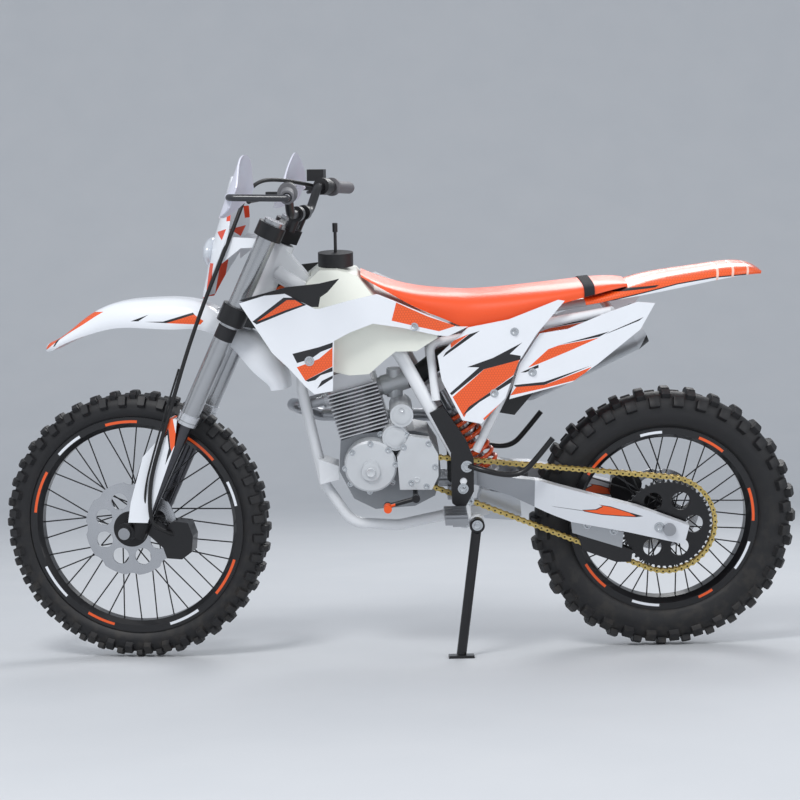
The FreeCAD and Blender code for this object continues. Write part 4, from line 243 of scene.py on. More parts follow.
def turned(profile: list, sides: int = 32) -> Shell:
    """Returns a piece turned about Z from pairs of radius and height, closed at both ends."""
    table = np.array(profile, float)
    turn = even_turns(sides)
    rings = np.stack([table[:, :1] * np.cos(turn), table[:, :1] * np.sin(turn), table[:, 1:] + 0 * turn], -1)
    return grid_shell(rings, closed_columns=True, capped=True)


def smooth_path(corners: np.ndarray, steps: int = 12) -> np.ndarray:
    """Returns points on the quadratic B-spline over these corners, from the first to the last."""
    spots = np.asarray(corners, float)
    middles = (spots[:-1] + spots[1:]) / 2
    starts = np.concatenate([spots[:1], middles[1:-1]])
    ends = np.concatenate([middles[1:-1], spots[-1:]])
    share = np.linspace(0, 1, steps, endpoint=False)[None, :, None]
    bends = ((1 - share) ** 2 * starts[:, None] + 2 * share * (1 - share) * spots[1:-1, None]
             + share ** 2 * ends[:, None])
    return np.concatenate([bends.reshape(-1, 3), spots[-1:]])


def axes_for(outwards: np.ndarray) -> np.ndarray:
    """Returns a matrix whose Z column points this way."""
    out = np.asarray(outwards, float) / np.linalg.norm(outwards)
    across = np.cross((0.0, 0.0, 1.0) if abs(out[2]) < 0.9 else (1.0, 0.0, 0.0), out)
    across /= np.linalg.norm(across)
    return np.stack([across, np.cross(out, across), out], -1)


# Shader maths


class Amount:
    """A socket that carries numbers, with arithmetic that adds Math nodes."""

    def __init__(self, net: "Net", socket: bpy.types.NodeSocket) -> None:
        """Keeps the net and the socket."""
        self.net = net
        self.socket = socket

    def math(self, operation: str, *others: object) -> "Amount":
        """Returns this amount combined with others by one Math node."""
        return self.net.make("ShaderNodeMath", {"operation": operation}, [self, *others])

    def __add__(self, other: object) -> "Amount":
        """Returns the sum."""
        return self.math("ADD", other)

    __radd__ = __add__

    def __sub__(self, other: object) -> "Amount":
        """Returns the difference."""
        return self.math("SUBTRACT", other)

    def __rsub__(self, other: float) -> "Amount":
        """Returns the other amount less this one."""
        return self.net.make("ShaderNodeMath", {"operation": "SUBTRACT"}, [other, self])

    def __mul__(self, other: object) -> "Amount":
        """Returns the product."""
        return self.math("MULTIPLY", other)

    __rmul__ = __mul__

    def least(self, other: object) -> "Amount":
        """Returns the smaller of two."""
        return self.math("MINIMUM", other)

    def most(self, other: object) -> "Amount":
        """Returns the larger of two."""
        return self.math("MAXIMUM", other)

    def size(self) -> "Amount":
        """Returns the amount without its sign."""
        return self.math("ABSOLUTE")

    def ramp(self, low: float, high: float) -> "Amount":
        """Returns 0 below low, 1 above high and a smooth rise between."""
        inputs = {"Value": self, "From Min": low, "From Max": high}
        return self.net.make("ShaderNodeMapRange", {"interpolation_type": "SMOOTHSTEP"}, inputs)


class Net:
    """The node tree of one material."""

    def __init__(self, name: str) -> None:
        """Makes an empty material with its output."""
        self.material = bpy.data.materials.new(name)
        self.material.use_nodes = True
        self.tree = self.material.node_tree
        self.tree.nodes.clear()
        self.output = self.tree.nodes.new("ShaderNodeOutputMaterial")

    def make(self, kind: str, settings: dict, inputs: object, output: object = 0) -> Amount:
        """Adds a node.

        Args:
            kind: the node's type.
            settings: properties to set first.
            inputs: values or links, by name or in order.
            output: name or number of the output to return.

        Returns:
            The output as an Amount.
        """
        node = self.tree.nodes.new(kind)
        for key, value in settings.items():
            setattr(node, key, value)
        pairs = inputs.items() if isinstance(inputs, dict) else enumerate(inputs)
        for key, value in pairs:
            if isinstance(value, Amount):
                self.tree.links.new(value.socket, node.inputs[key])
            else:
                node.inputs[key].default_value = value
        return Amount(self, node.outputs[output])

    def blend(self, share: object, low: object, high: object) -> Amount:
        """Returns the mix of two colours."""
        node = self.tree.nodes.new("ShaderNodeMix")
        node.data_type = "RGBA"
        for socket, value in zip((node.inputs[0], node.inputs[6], node.inputs[7]), (share, low, high)):
            if isinstance(value, Amount):
                self.tree.links.new(value.socket, socket)
            else:
                socket.default_value = value
        return Amount(self, node.outputs[2])

    def surface(self, inputs: dict) -> bpy.types.Material:
        """Returns the material, with one surface shader that has these inputs."""
        shader = self.make("ShaderNodeBsdfPrincipled", {}, inputs)
        self.tree.links.new(shader.socket, self.output.inputs["Surface"])
        return self.material

    def place(self, placing: Placing) -> Amount:
        """Returns the point in metres of the upright machine, from Object coordinates."""
        spot = self.make("ShaderNodeTexCoord", {}, {}, "Object")
        inputs = {"Vector": spot, "Location": tuple(placing.shift), "Rotation": tuple(placing.euler())}
        return self.make("ShaderNodeMapping", {"vector_type": "TEXTURE"}, inputs)

    def noise(self, spot: Amount, scale: float, detail: float = 3.0) -> Amount:
        """Returns soft noise from 0 to 1."""
        return self.make("ShaderNodeTexNoise", {}, {"Vector": spot, "Scale": scale, "Detail": detail}, "Fac")


def rgb(red: float, green: float, blue: float) -> tuple:
    """Returns a colour given in display values from 0 to 255 as linear light."""
    levels = np.array((red, green, blue)) / 255
    linear = np.where(levels <= 0.04045, levels / 12.92, ((levels + 0.055) / 1.055) ** 2.4)
    return (*[float(v) for v in linear], 1.0)


def turned_left(first: np.ndarray, second: np.ndarray, third: np.ndarray) -> float:
    """Returns twice the area of the triangle, positive where the three run anticlockwise."""
    near, far = second - first, third - first
    return float(near[0] * far[1] - near[1] * far[0])


def half_hull(spots: np.ndarray, order: list) -> list:
    """Returns the corners on the right of the way through points in this order."""
    kept = []
    for corner in order:
        while len(kept) > 1 and turned_left(spots[kept[-2]], spots[kept[-1]], spots[corner]) <= 0:
            kept.pop()
        kept.append(corner)
    return kept


def outline_depth(spots: np.ndarray, along: Amount, height: Amount, open_end: bool = False) -> Amount:
    """Returns a signed depth inside a simple outline: the least over the edges of its hull, less its pockets.

    Args:
        spots: the corners, anticlockwise, in millimetres.
        along: the first coordinate.
        height: the second coordinate.
        open_end: True if the edge from the last corner to the first is the open mouth of a pocket.
    """
    count = len(spots)
    order = [int(k) for k in np.lexsort((spots[:, 1], spots[:, 0]))]
    hull = half_hull(spots, order)[:-1] + half_hull(spots, order[::-1])[:-1]
    depth = None
    for first, second in zip(hull, hull[1:] + hull[:1]):
        if open_end and first == count - 1 and second == 0:
            continue
        edge = spots[second] - spots[first]
        normal = np.array((-edge[1], edge[0])) / np.linalg.norm(edge)
        inwards, up = (float(part / MM) for part in normal)
        inside = along * inwards + (height * up - float(spots[first] @ normal))
        depth = inside if depth is None else depth.least(inside)
        steps = (second - first) % count
        if 1 < steps < count - 1:
            pocket = spots[[(first + k) % count for k in range(steps + 1)]][::-1]
            depth = depth.least(outline_depth(pocket, along, height, True) * -1.0)
    return depth


def mask_of(inside: Amount, axes: list, beyond: float) -> Amount:
    """Returns 1 inside the painted edge, in millimetres, and only farther from the middle than beyond."""
    if beyond:
        inside = inside.least(axes[1].size() * (1 / MM) - beyond)
    return inside.ramp(*PAINT_EDGE)


@dataclass(frozen=True)
class Patch:
    """A flat area of colour, as an outline seen from the machine's side, in millimetres."""

    colour: tuple
    corners: tuple
    honeycomb: bool = False
    beyond: float = 0.0
    metal: float = -1.0
    rough: float = -1.0

    def mask(self, axes: list) -> Amount:
        """Returns 1 inside the outline."""
        spots = np.array(self.corners, float)
        following = np.roll(spots, -1, 0)
        if (spots[:, 0] * following[:, 1] - following[:, 0] * spots[:, 1]).sum() < 0:
            spots = spots[::-1]
        return mask_of(outline_depth(spots, axes[0], axes[2]), axes, self.beyond)


@dataclass(frozen=True)
class Band:
    """A ring, or a piece of one, round a cross axis, in millimetres and degrees."""

    colour: tuple
    centre: tuple
    inner: float
    outer: float
    start: float = 0.0
    sweep: float = 360.0
    beyond: float = 0.0
    metal: float = -1.0
    rough: float = -1.0
    honeycomb: bool = False

    def mask(self, axes: list) -> Amount:
        """Returns 1 inside the ring, between its two ends."""
        x = axes[0] * (1 / MM) - self.centre[0]
        z = axes[2] * (1 / MM) - self.centre[1]
        middle, half = (self.outer + self.inner) / 2, (self.outer - self.inner) / 2
        inside = half - ((x * x + z * z).math("SQRT") - middle).size()
        if self.sweep < 360.0:
            for turn, sign in ((self.start, 1), (self.start + self.sweep, -1)):
                ray = math.radians(turn)
                inside = inside.least(z * (sign * math.cos(ray)) - x * (sign * math.sin(ray)))
        return mask_of(inside, axes, self.beyond)


@dataclass(frozen=True)
class Finish:
    """One surface finish: its colour, gloss and the small unevenness that the real one has."""

    name: str
    colour: tuple
    rough: float = 0.4
    metal: float = 0.0
    coat: float = 0.0
    mottle: float = 0.06
    mottle_scale: float = 9.0
    grain: float = 0.0
    grain_scale: float = 900.0
    dust: float = 0.0
    patches: tuple = ()
    rough_spread = 0.25
    dust_heights = (0.05, 0.65)
    dust_colour = rgb(150, 138, 120)
    stain_scale = 35.0
    stain_range = (0.42, 0.7)
    grain_depth = 0.0006
    cell_shade = 0.72

    def build(self, placing: Placing) -> bpy.types.Material:
        """Makes the material for pieces with this placing."""
        net = Net(self.name)
        spot = net.place(placing)
        clouds = net.noise(spot, self.mottle_scale, 4.0)
        fine = net.noise(spot, self.grain_scale, 2.0)
        shade = tuple(c * (1 - self.mottle) for c in self.colour[:3]) + (1.0,)
        colour = net.blend(clouds.ramp(0.3, 0.7), shade, self.colour)
        rough = clouds * (self.rough_spread * self.rough) + self.rough * (1 - self.rough_spread / 2)
        colour, rough, metal = self.decorate(net, spot, (colour, rough, self.metal))
        if self.dust:
            height = net.make("ShaderNodeSeparateXYZ", {}, [spot], 2)
            stains = net.noise(spot, self.stain_scale, 5.0).ramp(*self.stain_range)
            low = (1 - height.ramp(*self.dust_heights)) * stains * self.dust
            colour = net.blend(low, colour, self.dust_colour)
            rough = rough + low * 0.4
        inputs = {"Base Color": colour, "Roughness": rough, "Metallic": metal, "Coat Weight": self.coat}
        if self.grain:
            bump = {"Strength": min(1.0, self.grain), "Distance": self.grain_depth, "Height": fine}
            inputs["Normal"] = net.make("ShaderNodeBump", {}, bump)
        return net.surface(inputs)

    def decorate(self, net: Net, spot: Amount, surface: tuple) -> tuple:
        """Returns the colour, roughness and metal share with the patches laid over them."""
        colour, rough, metal = surface
        if not self.patches:
            return surface
        axes = [net.make("ShaderNodeSeparateXYZ", {}, [spot], k) for k in range(3)]
        cells = honeycomb(axes[0], axes[2]) if any(p.honeycomb for p in self.patches) else None
        for patch in self.patches:
            paint = patch.colour
            if patch.honeycomb:
                deeper = tuple(c * self.cell_shade for c in patch.colour[:3]) + (1.0,)
                paint = net.blend(cells, patch.colour, deeper)
            mask = patch.mask(axes)
            colour = net.blend(mask, colour, paint)
            if patch.rough >= 0:
                rough = rough * (1 - mask) + mask * patch.rough
            if patch.metal >= 0:
                metal = (1 - mask) * metal + mask * patch.metal
        return colour, rough, metal


def honeycomb(along: Amount, height: Amount, pitch: float = 0.0068) -> Amount:
    """Returns lines between six-sided cells, from the distance to the nearer middle of two offset grids."""
    tall = pitch * math.sqrt(3)

    def cell(shift_x: float, shift_z: float) -> tuple:
        """Returns the place inside the cell of one of the two grids."""
        x = (along + shift_x).math("FLOORED_MODULO", pitch) - pitch / 2
        z = (height + shift_z).math("FLOORED_MODULO", tall) - tall / 2
        return x, z

    x, z = cell(0, 0)
    u, v = cell(pitch / 2, tall / 2)
    near = (x * x + z * z).math("LESS_THAN", u * u + v * v)
    p = (near * x + (1 - near) * u).size()
    q = (near * z + (1 - near) * v).size()
    rim = p.most(p * 0.5 + q * (math.sqrt(3) / 2))
    return rim.ramp(pitch * 0.40, pitch * 0.46)


ORANGE = rgb(238, 92, 34)
RED = rgb(224, 74, 44)
BLACK = rgb(22, 22, 26)
WHITE = rgb(232, 235, 240)
SATIN_BLACK = rgb(20, 20, 23)


def new_mesh(name: str, spots: np.ndarray, faces: list) -> bpy.types.Mesh:
    """Returns a mesh that shades smooth."""
    mesh = bpy.data.meshes.new(name)
    mesh.from_pydata(spots.tolist(), [], faces)
    mesh.validate()
    mesh.polygons.foreach_set("use_smooth", np.ones(len(mesh.polygons), bool))
    return mesh


def new_object(name: str, data: bpy.types.ID) -> bpy.types.Object:
    """Returns a new object of the scene that holds this data."""
    made = bpy.data.objects.new(name, data)
    bpy.context.scene.collection.objects.link(made)
    return made


class Shop:
    """Makes, dresses and mounts pieces."""

    def __init__(self, stance: Stance, nodes: dict) -> None:
        """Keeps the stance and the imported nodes."""
        self.stance = stance
        self.nodes = nodes
        self.materials = {}

    def material(self, finish: Finish, body: Body) -> bpy.types.Material:
        """Returns the finish as a material for this body, made once."""
        key = (finish.name, self.stance.placing(body) is self.stance.steering)
        if key not in self.materials:
            self.materials[key] = finish.build(self.stance.placing(body))
        return self.materials[key]

    def dress(self, node: str, finish: Finish, body: Body) -> None:
        """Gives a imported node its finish."""
        slots = self.nodes[node].material_slots
        material = self.material(finish, body)
        if not slots:
            self.nodes[node].data.materials.append(material)
        for slot in slots:
            slot.material = material
        LOG.info("dressed %s in %s", node, finish.name)

    def mount(self, name: str, shell: Shell, finish: Finish, body: Body,
              sharp: float) -> bpy.types.Object:
        """Makes a piece.

        Args:
            name: the piece's name.
            shell: its points in the upright frame, and its faces.
            finish: its surface.
            body: what it rides on.
            sharp: angle in degrees past which an edge shades as a sharp one.

        Returns:
            The new object.
        """
        mesh = new_mesh(name, self.stance.placing(body).points(shell.points), shell.faces)
        mesh.set_sharp_from_angle(angle=math.radians(sharp))
        mesh.materials.append(self.material(finish, body))
        piece = new_object(name, mesh)
        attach(piece, body.value)
        LOG.info("made %s, %d faces", name, len(mesh.polygons))
        return piece


# Tyres


@dataclass
class Knob:
    """One row of tread blocks across the tyre. At its top a block keeps this worn share of its size."""

    turn: float
    length: float
    width: float
    height: float
    stagger: float = 0.0
    worn = 0.88


@dataclass
class Tyre:
    """A knobbly tyre, as the carcass worked out across and around, with rows of tread blocks on it."""

    name: str
    body: Body
    centre: np.ndarray
    radius: float
    half_width: float
    rim_radius: float
    rim_half: float
    crown: float
    pitches: int
    knobs: tuple
    steps: int = 160
    shoulder = 4.0
    bow = 0.62 * math.pi
    rib = (0.9, 0.3, 0.05)
    lip = ((-11, -4), (2, -2))

    def profile(self) -> np.ndarray:
        """Returns pairs of radius and side across the carcass: lip, bowed wall with its rib, crown, back."""
        wall = self.half_width - self.shoulder
        ring = self.radius - self.crown
        base = self.crown - self.knobs[0].height
        reach = math.asin(min(1.0, wall / base)) if wall < base else math.pi / 2
        arc = np.linspace(reach, -reach, 25)
        across = base * circle(arc) + (ring, 0)
        share = np.linspace(0, 1, 9)[1:-1]
        low, top = self.rim_radius, across[0, 0]
        bow = np.sin(share * self.bow) / math.sin(self.bow)
        side = self.rim_half + (across[0, 1] - self.rim_half) * bow
        height, place, spread = self.rib
        rib = height * np.exp(-((share - place) / spread) ** 2)
        right = np.stack([low + (top - low) * share, side + rib], -1)
        lip = np.array(self.lip) + (self.rim_radius, self.rim_half)
        half = np.concatenate([lip, right])
        return np.concatenate([half, across, half[::-1] * (1, -1)])

    def carcass(self) -> Shell:
        """Returns the closed ring: the profile carried round the axle."""
        table = self.profile()
        round_x, round_z = circle(even_turns(self.steps)).T[:, :, None]
        ring = np.stack([table[:, 0] * round_x, table[:, 1] + 0 * round_x, table[:, 0] * round_z], -1)
        return grid_shell(ring, closed_rows=True, closed_columns=True).moved(np.eye(3), self.centre)

    def blocks(self) -> Shell:
        """Returns every tread block, set square to the crown at its own turn."""
        shells = []
        for knob in self.knobs:
            block = grid_shell(self.block_rings(knob), closed_columns=True, capped=True)
            around = (np.arange(self.pitches) + knob.stagger) * TAU / self.pitches
            cosine, sine, ones = np.cos(around), np.sin(around), np.ones_like(around)
            rise = math.sqrt(self.crown ** 2 - (knob.width * knob.worn / 2) ** 2) - knob.height
            for side in ((1, -1) if knob.turn else (1,)):
                turn = math.radians(knob.turn) * side
                out_r, out_y = math.cos(turn), math.sin(turn)
                reach = self.radius - self.crown + rise * out_r
                place = np.stack([reach * cosine, ones * (rise * out_y), reach * sine], -1)
                out = np.stack([out_r * cosine, ones * out_y, out_r * sine], -1)
                tangent = np.stack([-sine, 0 * ones, cosine], -1)
                frames = np.stack([tangent, np.cross(out, tangent), out], -1)
                shells.append(block.repeated(frames, place + self.centre))
        return Shell.join(shells)

    @staticmethod
    def block_rings(knob: Knob) -> np.ndarray:
        """Returns four rings of a tapered block with cut corners, from under the carcass to its worn top."""
        cut = 1.6
        levels = ((-3.0, 1.10, cut), (0.5, 1.04, cut), (knob.height - 1.0, 0.96, cut),
                  (knob.height, knob.worn, cut * 1.3))
        rings = []
        for height, grow, corner in levels:
            a, b = knob.length / 2 * grow, knob.width / 2 * grow
            plan = [(a - corner, b), (-a + corner, b), (-a, b - corner), (-a, -b + corner),
                    (-a + corner, -b), (a - corner, -b), (a, -b + corner), (a, b - corner)]
            rings.append([(x, y, height) for x, y in plan])
        return np.array(rings)

    def build(self, shop: Shop) -> None:
        """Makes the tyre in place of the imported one."""
        shell = Shell.join([self.carcass(), self.blocks()])
        piece = shop.mount(self.name + "_tread", shell, RUBBER, self.body, 30.0)
        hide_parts(self.name)


# Seat


@dataclass
class Seat:
    """The long seat: crowned across, with a crease along each side and a flat skirt below it."""

    stations: tuple = (
        (-771, 1003, 997, 60), (-745, 990, 982, 74), (-718, 978, 969, 84), (-680, 967, 947, 91),
        (-643, 958, 926, 96), (-600, 952, 907, 100), (-560, 949, 891, 103), (-530, 947, 877, 105),
        (-500, 946, 864, 106), (-465, 947, 868, 107), (-425, 949, 875, 108), (-370, 953, 893, 107),
        (-316, 957, 912, 106), (-260, 962, 929, 102), (-200, 968, 943, 98), (-170, 970, 950, 92),
        (-140, 971, 956, 84), (-118, 970, 959, 74), (-104, 968, 960, 66),
    )
    rows: int = 110
    window: int = 7

    @staticmethod
    def section() -> tuple:
        """Returns the shares of half width and of height across the cover: skirt, crease and crown."""
        across = np.array((
            1.0, 0.995, 0.985, 0.97, 0.93, 0.885, 0.865, 0.84, 0.77, 0.66, 0.5, 0.33, 0.16, 0.0))
        lift = np.array((
            0.0, 0.16, 0.34, 0.50, 0.64, 0.735, 0.765, 0.80, 0.865, 0.925, 0.965, 0.985, 0.995, 1.0))
        return np.concatenate([across, -across[-2::-1]]), np.concatenate([lift, lift[-2::-1]])

    def build(self, shop: Shop) -> None:
        """Makes the cover: stations along, and across them a skirt, a soft crease and a crown."""
        table = np.array(self.stations, float)
        fine = np.linspace(0, len(table) - 1, self.rows)
        columns = [np.interp(fine, np.arange(len(table)), table[:, k]) for k in range(4)]
        kernel, margin = np.ones(self.window) / self.window, self.window // 2
        x, top, low, half = (np.convolve(np.pad(v, margin, mode="edge"), kernel, "valid") for v in columns)
        side, rise = self.section()
        spots = np.stack([np.broadcast_to(x[:, None], (len(x), len(side))), half[:, None] * side[None],
                          low[:, None] + (top - low)[:, None] * rise[None]], -1)
        shell = grid_shell(spots, closed_columns=True, capped=True)
        shell.faces = [face[::-1] for face in shell.faces]
        piece = shop.mount("seat_cover", shell, VINYL, Body.FRAME, 60.0)
        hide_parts("seat")


# Finishes

RUBBER = Finish("tyre rubber", rgb(21, 21, 24), rough=0.55, mottle=0.2, mottle_scale=30.0, grain=0.3,
                dust=0.05)
VINYL = Finish("orange seat vinyl", rgb(236, 82, 28), rough=0.38, coat=0.12, mottle=0.03, grain=0.25,
               grain_scale=1500.0)
CREAM = Finish("cream tank plastic", rgb(230, 232, 222), rough=0.38, mottle=0.03, mottle_scale=5.0)
FRAME_PAINT = Finish("white frame paint", rgb(228, 230, 233), rough=0.24, coat=0.4, mottle=0.02)
BLACK_PLASTIC = Finish("black moulded plastic", rgb(22, 22, 25), rough=0.46, grain=0.3, mottle=0.15)
BLACK_METAL = Finish("black anodised metal", rgb(19, 19, 22), rough=0.34, metal=0.2, coat=0.15, mottle=0.12)
BLACK_HOSE = Finish("black hose rubber", rgb(18, 18, 20), rough=0.55, mottle=0.1)
WEBBING = Finish("black strap webbing", rgb(24, 24, 30), rough=0.8, mottle=0.1, grain=0.8, grain_scale=1800.0)
CAST_SILVER = Finish("painted cast alloy", rgb(206, 209, 212), rough=0.34, metal=0.3, mottle=0.07, grain=0.25,
                     grain_scale=700.0)
FINS = Finish("cast fins", rgb(206, 207, 210), rough=0.36, metal=0.6, mottle=0.2, grain=0.4,
              grain_scale=600.0)
CRANKCASE_ALLOY = Finish("bare cast alloy", rgb(140, 143, 147), rough=0.42, metal=0.5, mottle=0.15, grain=0.4,
                         grain_scale=600.0)
STEEL = Finish("plain steel", rgb(168, 170, 174), rough=0.3, metal=0.95, mottle=0.1)
BOLT_STEEL = Finish("zinc plated steel", rgb(196, 200, 204), rough=0.24, metal=0.9, mottle=0.08)
BRIGHT = Finish("brushed alloy", rgb(196, 200, 206), rough=0.34, metal=0.75, mottle=0.06)
GOLD = Finish("gold plating", rgb(206, 182, 112), rough=0.32, metal=0.85, mottle=0.1)
PIN_STEEL = Finish("dark pin steel", rgb(58, 52, 42), rough=0.4, metal=0.7, mottle=0.1)
GRIP = Finish("grey grip rubber", rgb(104, 104, 108), rough=0.62, mottle=0.08)
SPRING_ORANGE = Finish("orange spring paint", rgb(226, 84, 30), rough=0.3, coat=0.4, mottle=0.05)
LENS = Finish("clear lens", rgb(200, 205, 212), rough=0.06, metal=0.2, coat=0.6, mottle=0.0)


def everywhere(colour: tuple, beyond: float) -> Patch:
    """Returns a patch that covers all that is farther from the middle than this."""
    return Patch(colour, ((-1700, 0), (400, 0), (400, 1500), (-1700, 1500)), beyond=beyond)


def field(*corners: tuple) -> Patch:
    """Returns an orange field with a honeycomb of lines, inside this outline."""
    return Patch(ORANGE, corners, True)


def stroke(*corners: tuple) -> Patch:
    """Returns a black stroke inside this outline."""
    return Patch(BLACK, corners)


def cover(name: str, patches: tuple) -> Finish:
    """Returns the white plastic of a cover, with its stripes and coloured fields."""
    return Finish(name, WHITE, rough=0.26, coat=0.25, mottle=0.02, patches=patches)


def graphics() -> dict:
    """Returns the finishes of the covers that carry stripes."""
    shroud = cover("shroud cover", (
        stroke((-1032, 907), (-955, 966), (-932, 966), (-900, 948), (-949, 930), (-1022, 900)),
        field((-1021, 907), (-947, 960), (-927, 960), (-909, 949), (-949, 936)),
        field((-683, 948), (-607, 910), (-537, 881), (-579, 871), (-695, 904)),
        stroke((-937, 829), (-872, 845), (-838, 856), (-839, 844), (-868, 833), (-891, 817), (-926, 806)),
        field((-927, 796), (-873, 816), (-839, 844), (-840, 797), (-907, 763)),
        stroke((-907, 763), (-840, 796), (-840, 785), (-869, 776), (-883, 764), (-900, 760)),
        stroke((-879, 743), (-840, 768), (-840, 775), (-867, 762)),
    ))
    side = cover("side cover", (
        stroke((-569, 801), (-477, 866), (-503, 858), (-562, 813)),
        field((-550, 839), (-503, 859), (-549, 824)),
        stroke((-510, 776), (-446, 798), (-373, 835), (-404, 807), (-377, 802), (-378, 792), (-468, 770),
               (-548, 706), (-553, 711), (-480, 775)),
        field((-546, 702), (-468, 770), (-380, 792), (-395, 754), (-504, 677), (-518, 650)),
        stroke((-506, 677), (-395, 752), (-399, 737), (-480, 688), (-523, 653)),
        field((-471, 647), (-423, 689), (-437, 670), (-468, 642)),
    ))
    tail = cover("tail cover", (
        field((-358, 770), (-308, 815), (-282, 824), (-181, 841), (-252, 811), (-332, 779)),
        stroke((-294, 822), (-155, 856), (-181, 843), (-282, 825)),
        stroke((-377, 758), (-332, 777), (-332, 769), (-365, 758)),
        field((-403, 701), (-384, 727), (-318, 726), (-199, 769), (-223, 748), (-242, 736), (-318, 718)),
        stroke((-394, 727), (-318, 734), (-199, 773), (-318, 726), (-389, 722)),
        stroke((-153, 855), (-70, 889), (-82, 880), (-167, 848)),
    ))
    front = cover("front fender", (
        stroke((-1300, 882), (-1251, 883), (-1177, 905), (-1172, 899), (-1243, 879)),
        field((-1243, 879), (-1174, 900), (-1150, 884), (-1158, 875)),
        stroke((-1335, 883), (-1288, 900), (-1315, 883)),
        stroke((-1576, 803), (-1533, 833), (-1514, 844), (-1462, 876), (-1465, 883), (-1533, 845)),
        field((-1584, 800), (-1569, 807), (-1514, 844), (-1465, 872), (-1433, 892), (-1410, 905),
              (-1455, 902), (-1540, 850)),
        stroke((-1551, 813), (-1540, 831), (-1531, 834), (-1545, 815)),
        stroke((-1600, 780), (-1600, 802), (-1580, 802), (-1577, 797)),
    ))
    rear = cover("rear fender", (
        stroke((-216, 911), (-120, 935), (14, 965), (110, 979), (190, 984), (236, 964), (242, 1010),
               (-216, 1010)),
        field((-216, 914), (-120, 938), (14, 968), (110, 982), (190, 987), (236, 968), (242, 1010),
              (-216, 1010)),
        *(Patch(rgb(236, 196, 180), ((x, 960), (x + 6, 960), (x + 12, 1010), (x + 6, 1010)))
          for x in (110, 148, 186)),
        stroke((-196, 950), (-30, 966), (-40, 960), (-194, 943)),
    ))
    mask = cover("headlight mask", (
        Patch(RED, ((-1175, 936), (-1147, 943), (-1132, 1028), (-1118, 1028), (-1134, 936))),
        Patch(RED, ((-1110, 1105), (-1077, 1114), (-1090, 1086))),
        Patch(RED, ((-1078, 1163), (-1052, 1165), (-1055, 1135), (-1078, 1132))),
    ))
    guard = cover("fork guard", (
        stroke((-1243, 596), (-1232, 622), (-1230, 615), (-1227, 574), (-1224, 564), (-1242, 528),
               (-1236, 554), (-1231, 572), (-1234, 605), (-1251, 590)),
        Patch(ORANGE, ((-1221, 657), (-1233, 633), (-1250, 595), (-1243, 596), (-1232, 622), (-1218, 651))),
        Patch(ORANGE, ((-1221, 657), (-1213, 611), (-1210, 590), (-1224, 564), (-1227, 574), (-1230, 615),
                       (-1232, 622))),
    ))
    return {"shrouds": shroud, "side_panels": side, "tail_panels": tail, "front_fender": front,
            "rear_fender": rear, "headlight_mask": mask, "fork_guards": guard}


def seen_from_side(point: np.ndarray) -> tuple:
    """Returns the point's X and Z."""
    return float(point[0]), float(point[2])


def rim_finish(name: str, centre: np.ndarray, rim_radius: float, arcs: tuple) -> Finish:
    """Returns black rim paint with short coloured arcs near its edge."""
    spot, inner, outer = seen_from_side(centre), rim_radius - 15.0, rim_radius - 8.0
    bands = tuple(Band(colour, spot, inner, outer, start, turn) for colour, start, turn in arcs)
    return Finish(name, rgb(19, 19, 22), rough=0.3, metal=0.2, coat=0.3, mottle=0.1, patches=bands)


def fork_bar(stance: Stance, colour: tuple, low: float, high: float, **more: float) -> Patch:
    """Returns a patch across the fork between two heights up the steering axis."""
    reach = 90.0
    corners = ((low, -reach), (high, -reach), (high, reach), (low, reach))
    return Patch(colour, tuple(seen_from_side(stance.fork(*corner)) for corner in corners), **more)


def disc_finish(name: str, centre: np.ndarray) -> Finish:
    """Returns the brushed steel of a brake disc with its dark carrier."""
    carrier = Band(SATIN_BLACK, seen_from_side(centre), 0.0, 46.0, metal=0.2, rough=0.4)
    return Finish(name, rgb(186, 188, 192), rough=0.26, metal=0.95, mottle=0.08, patches=(carrier,))


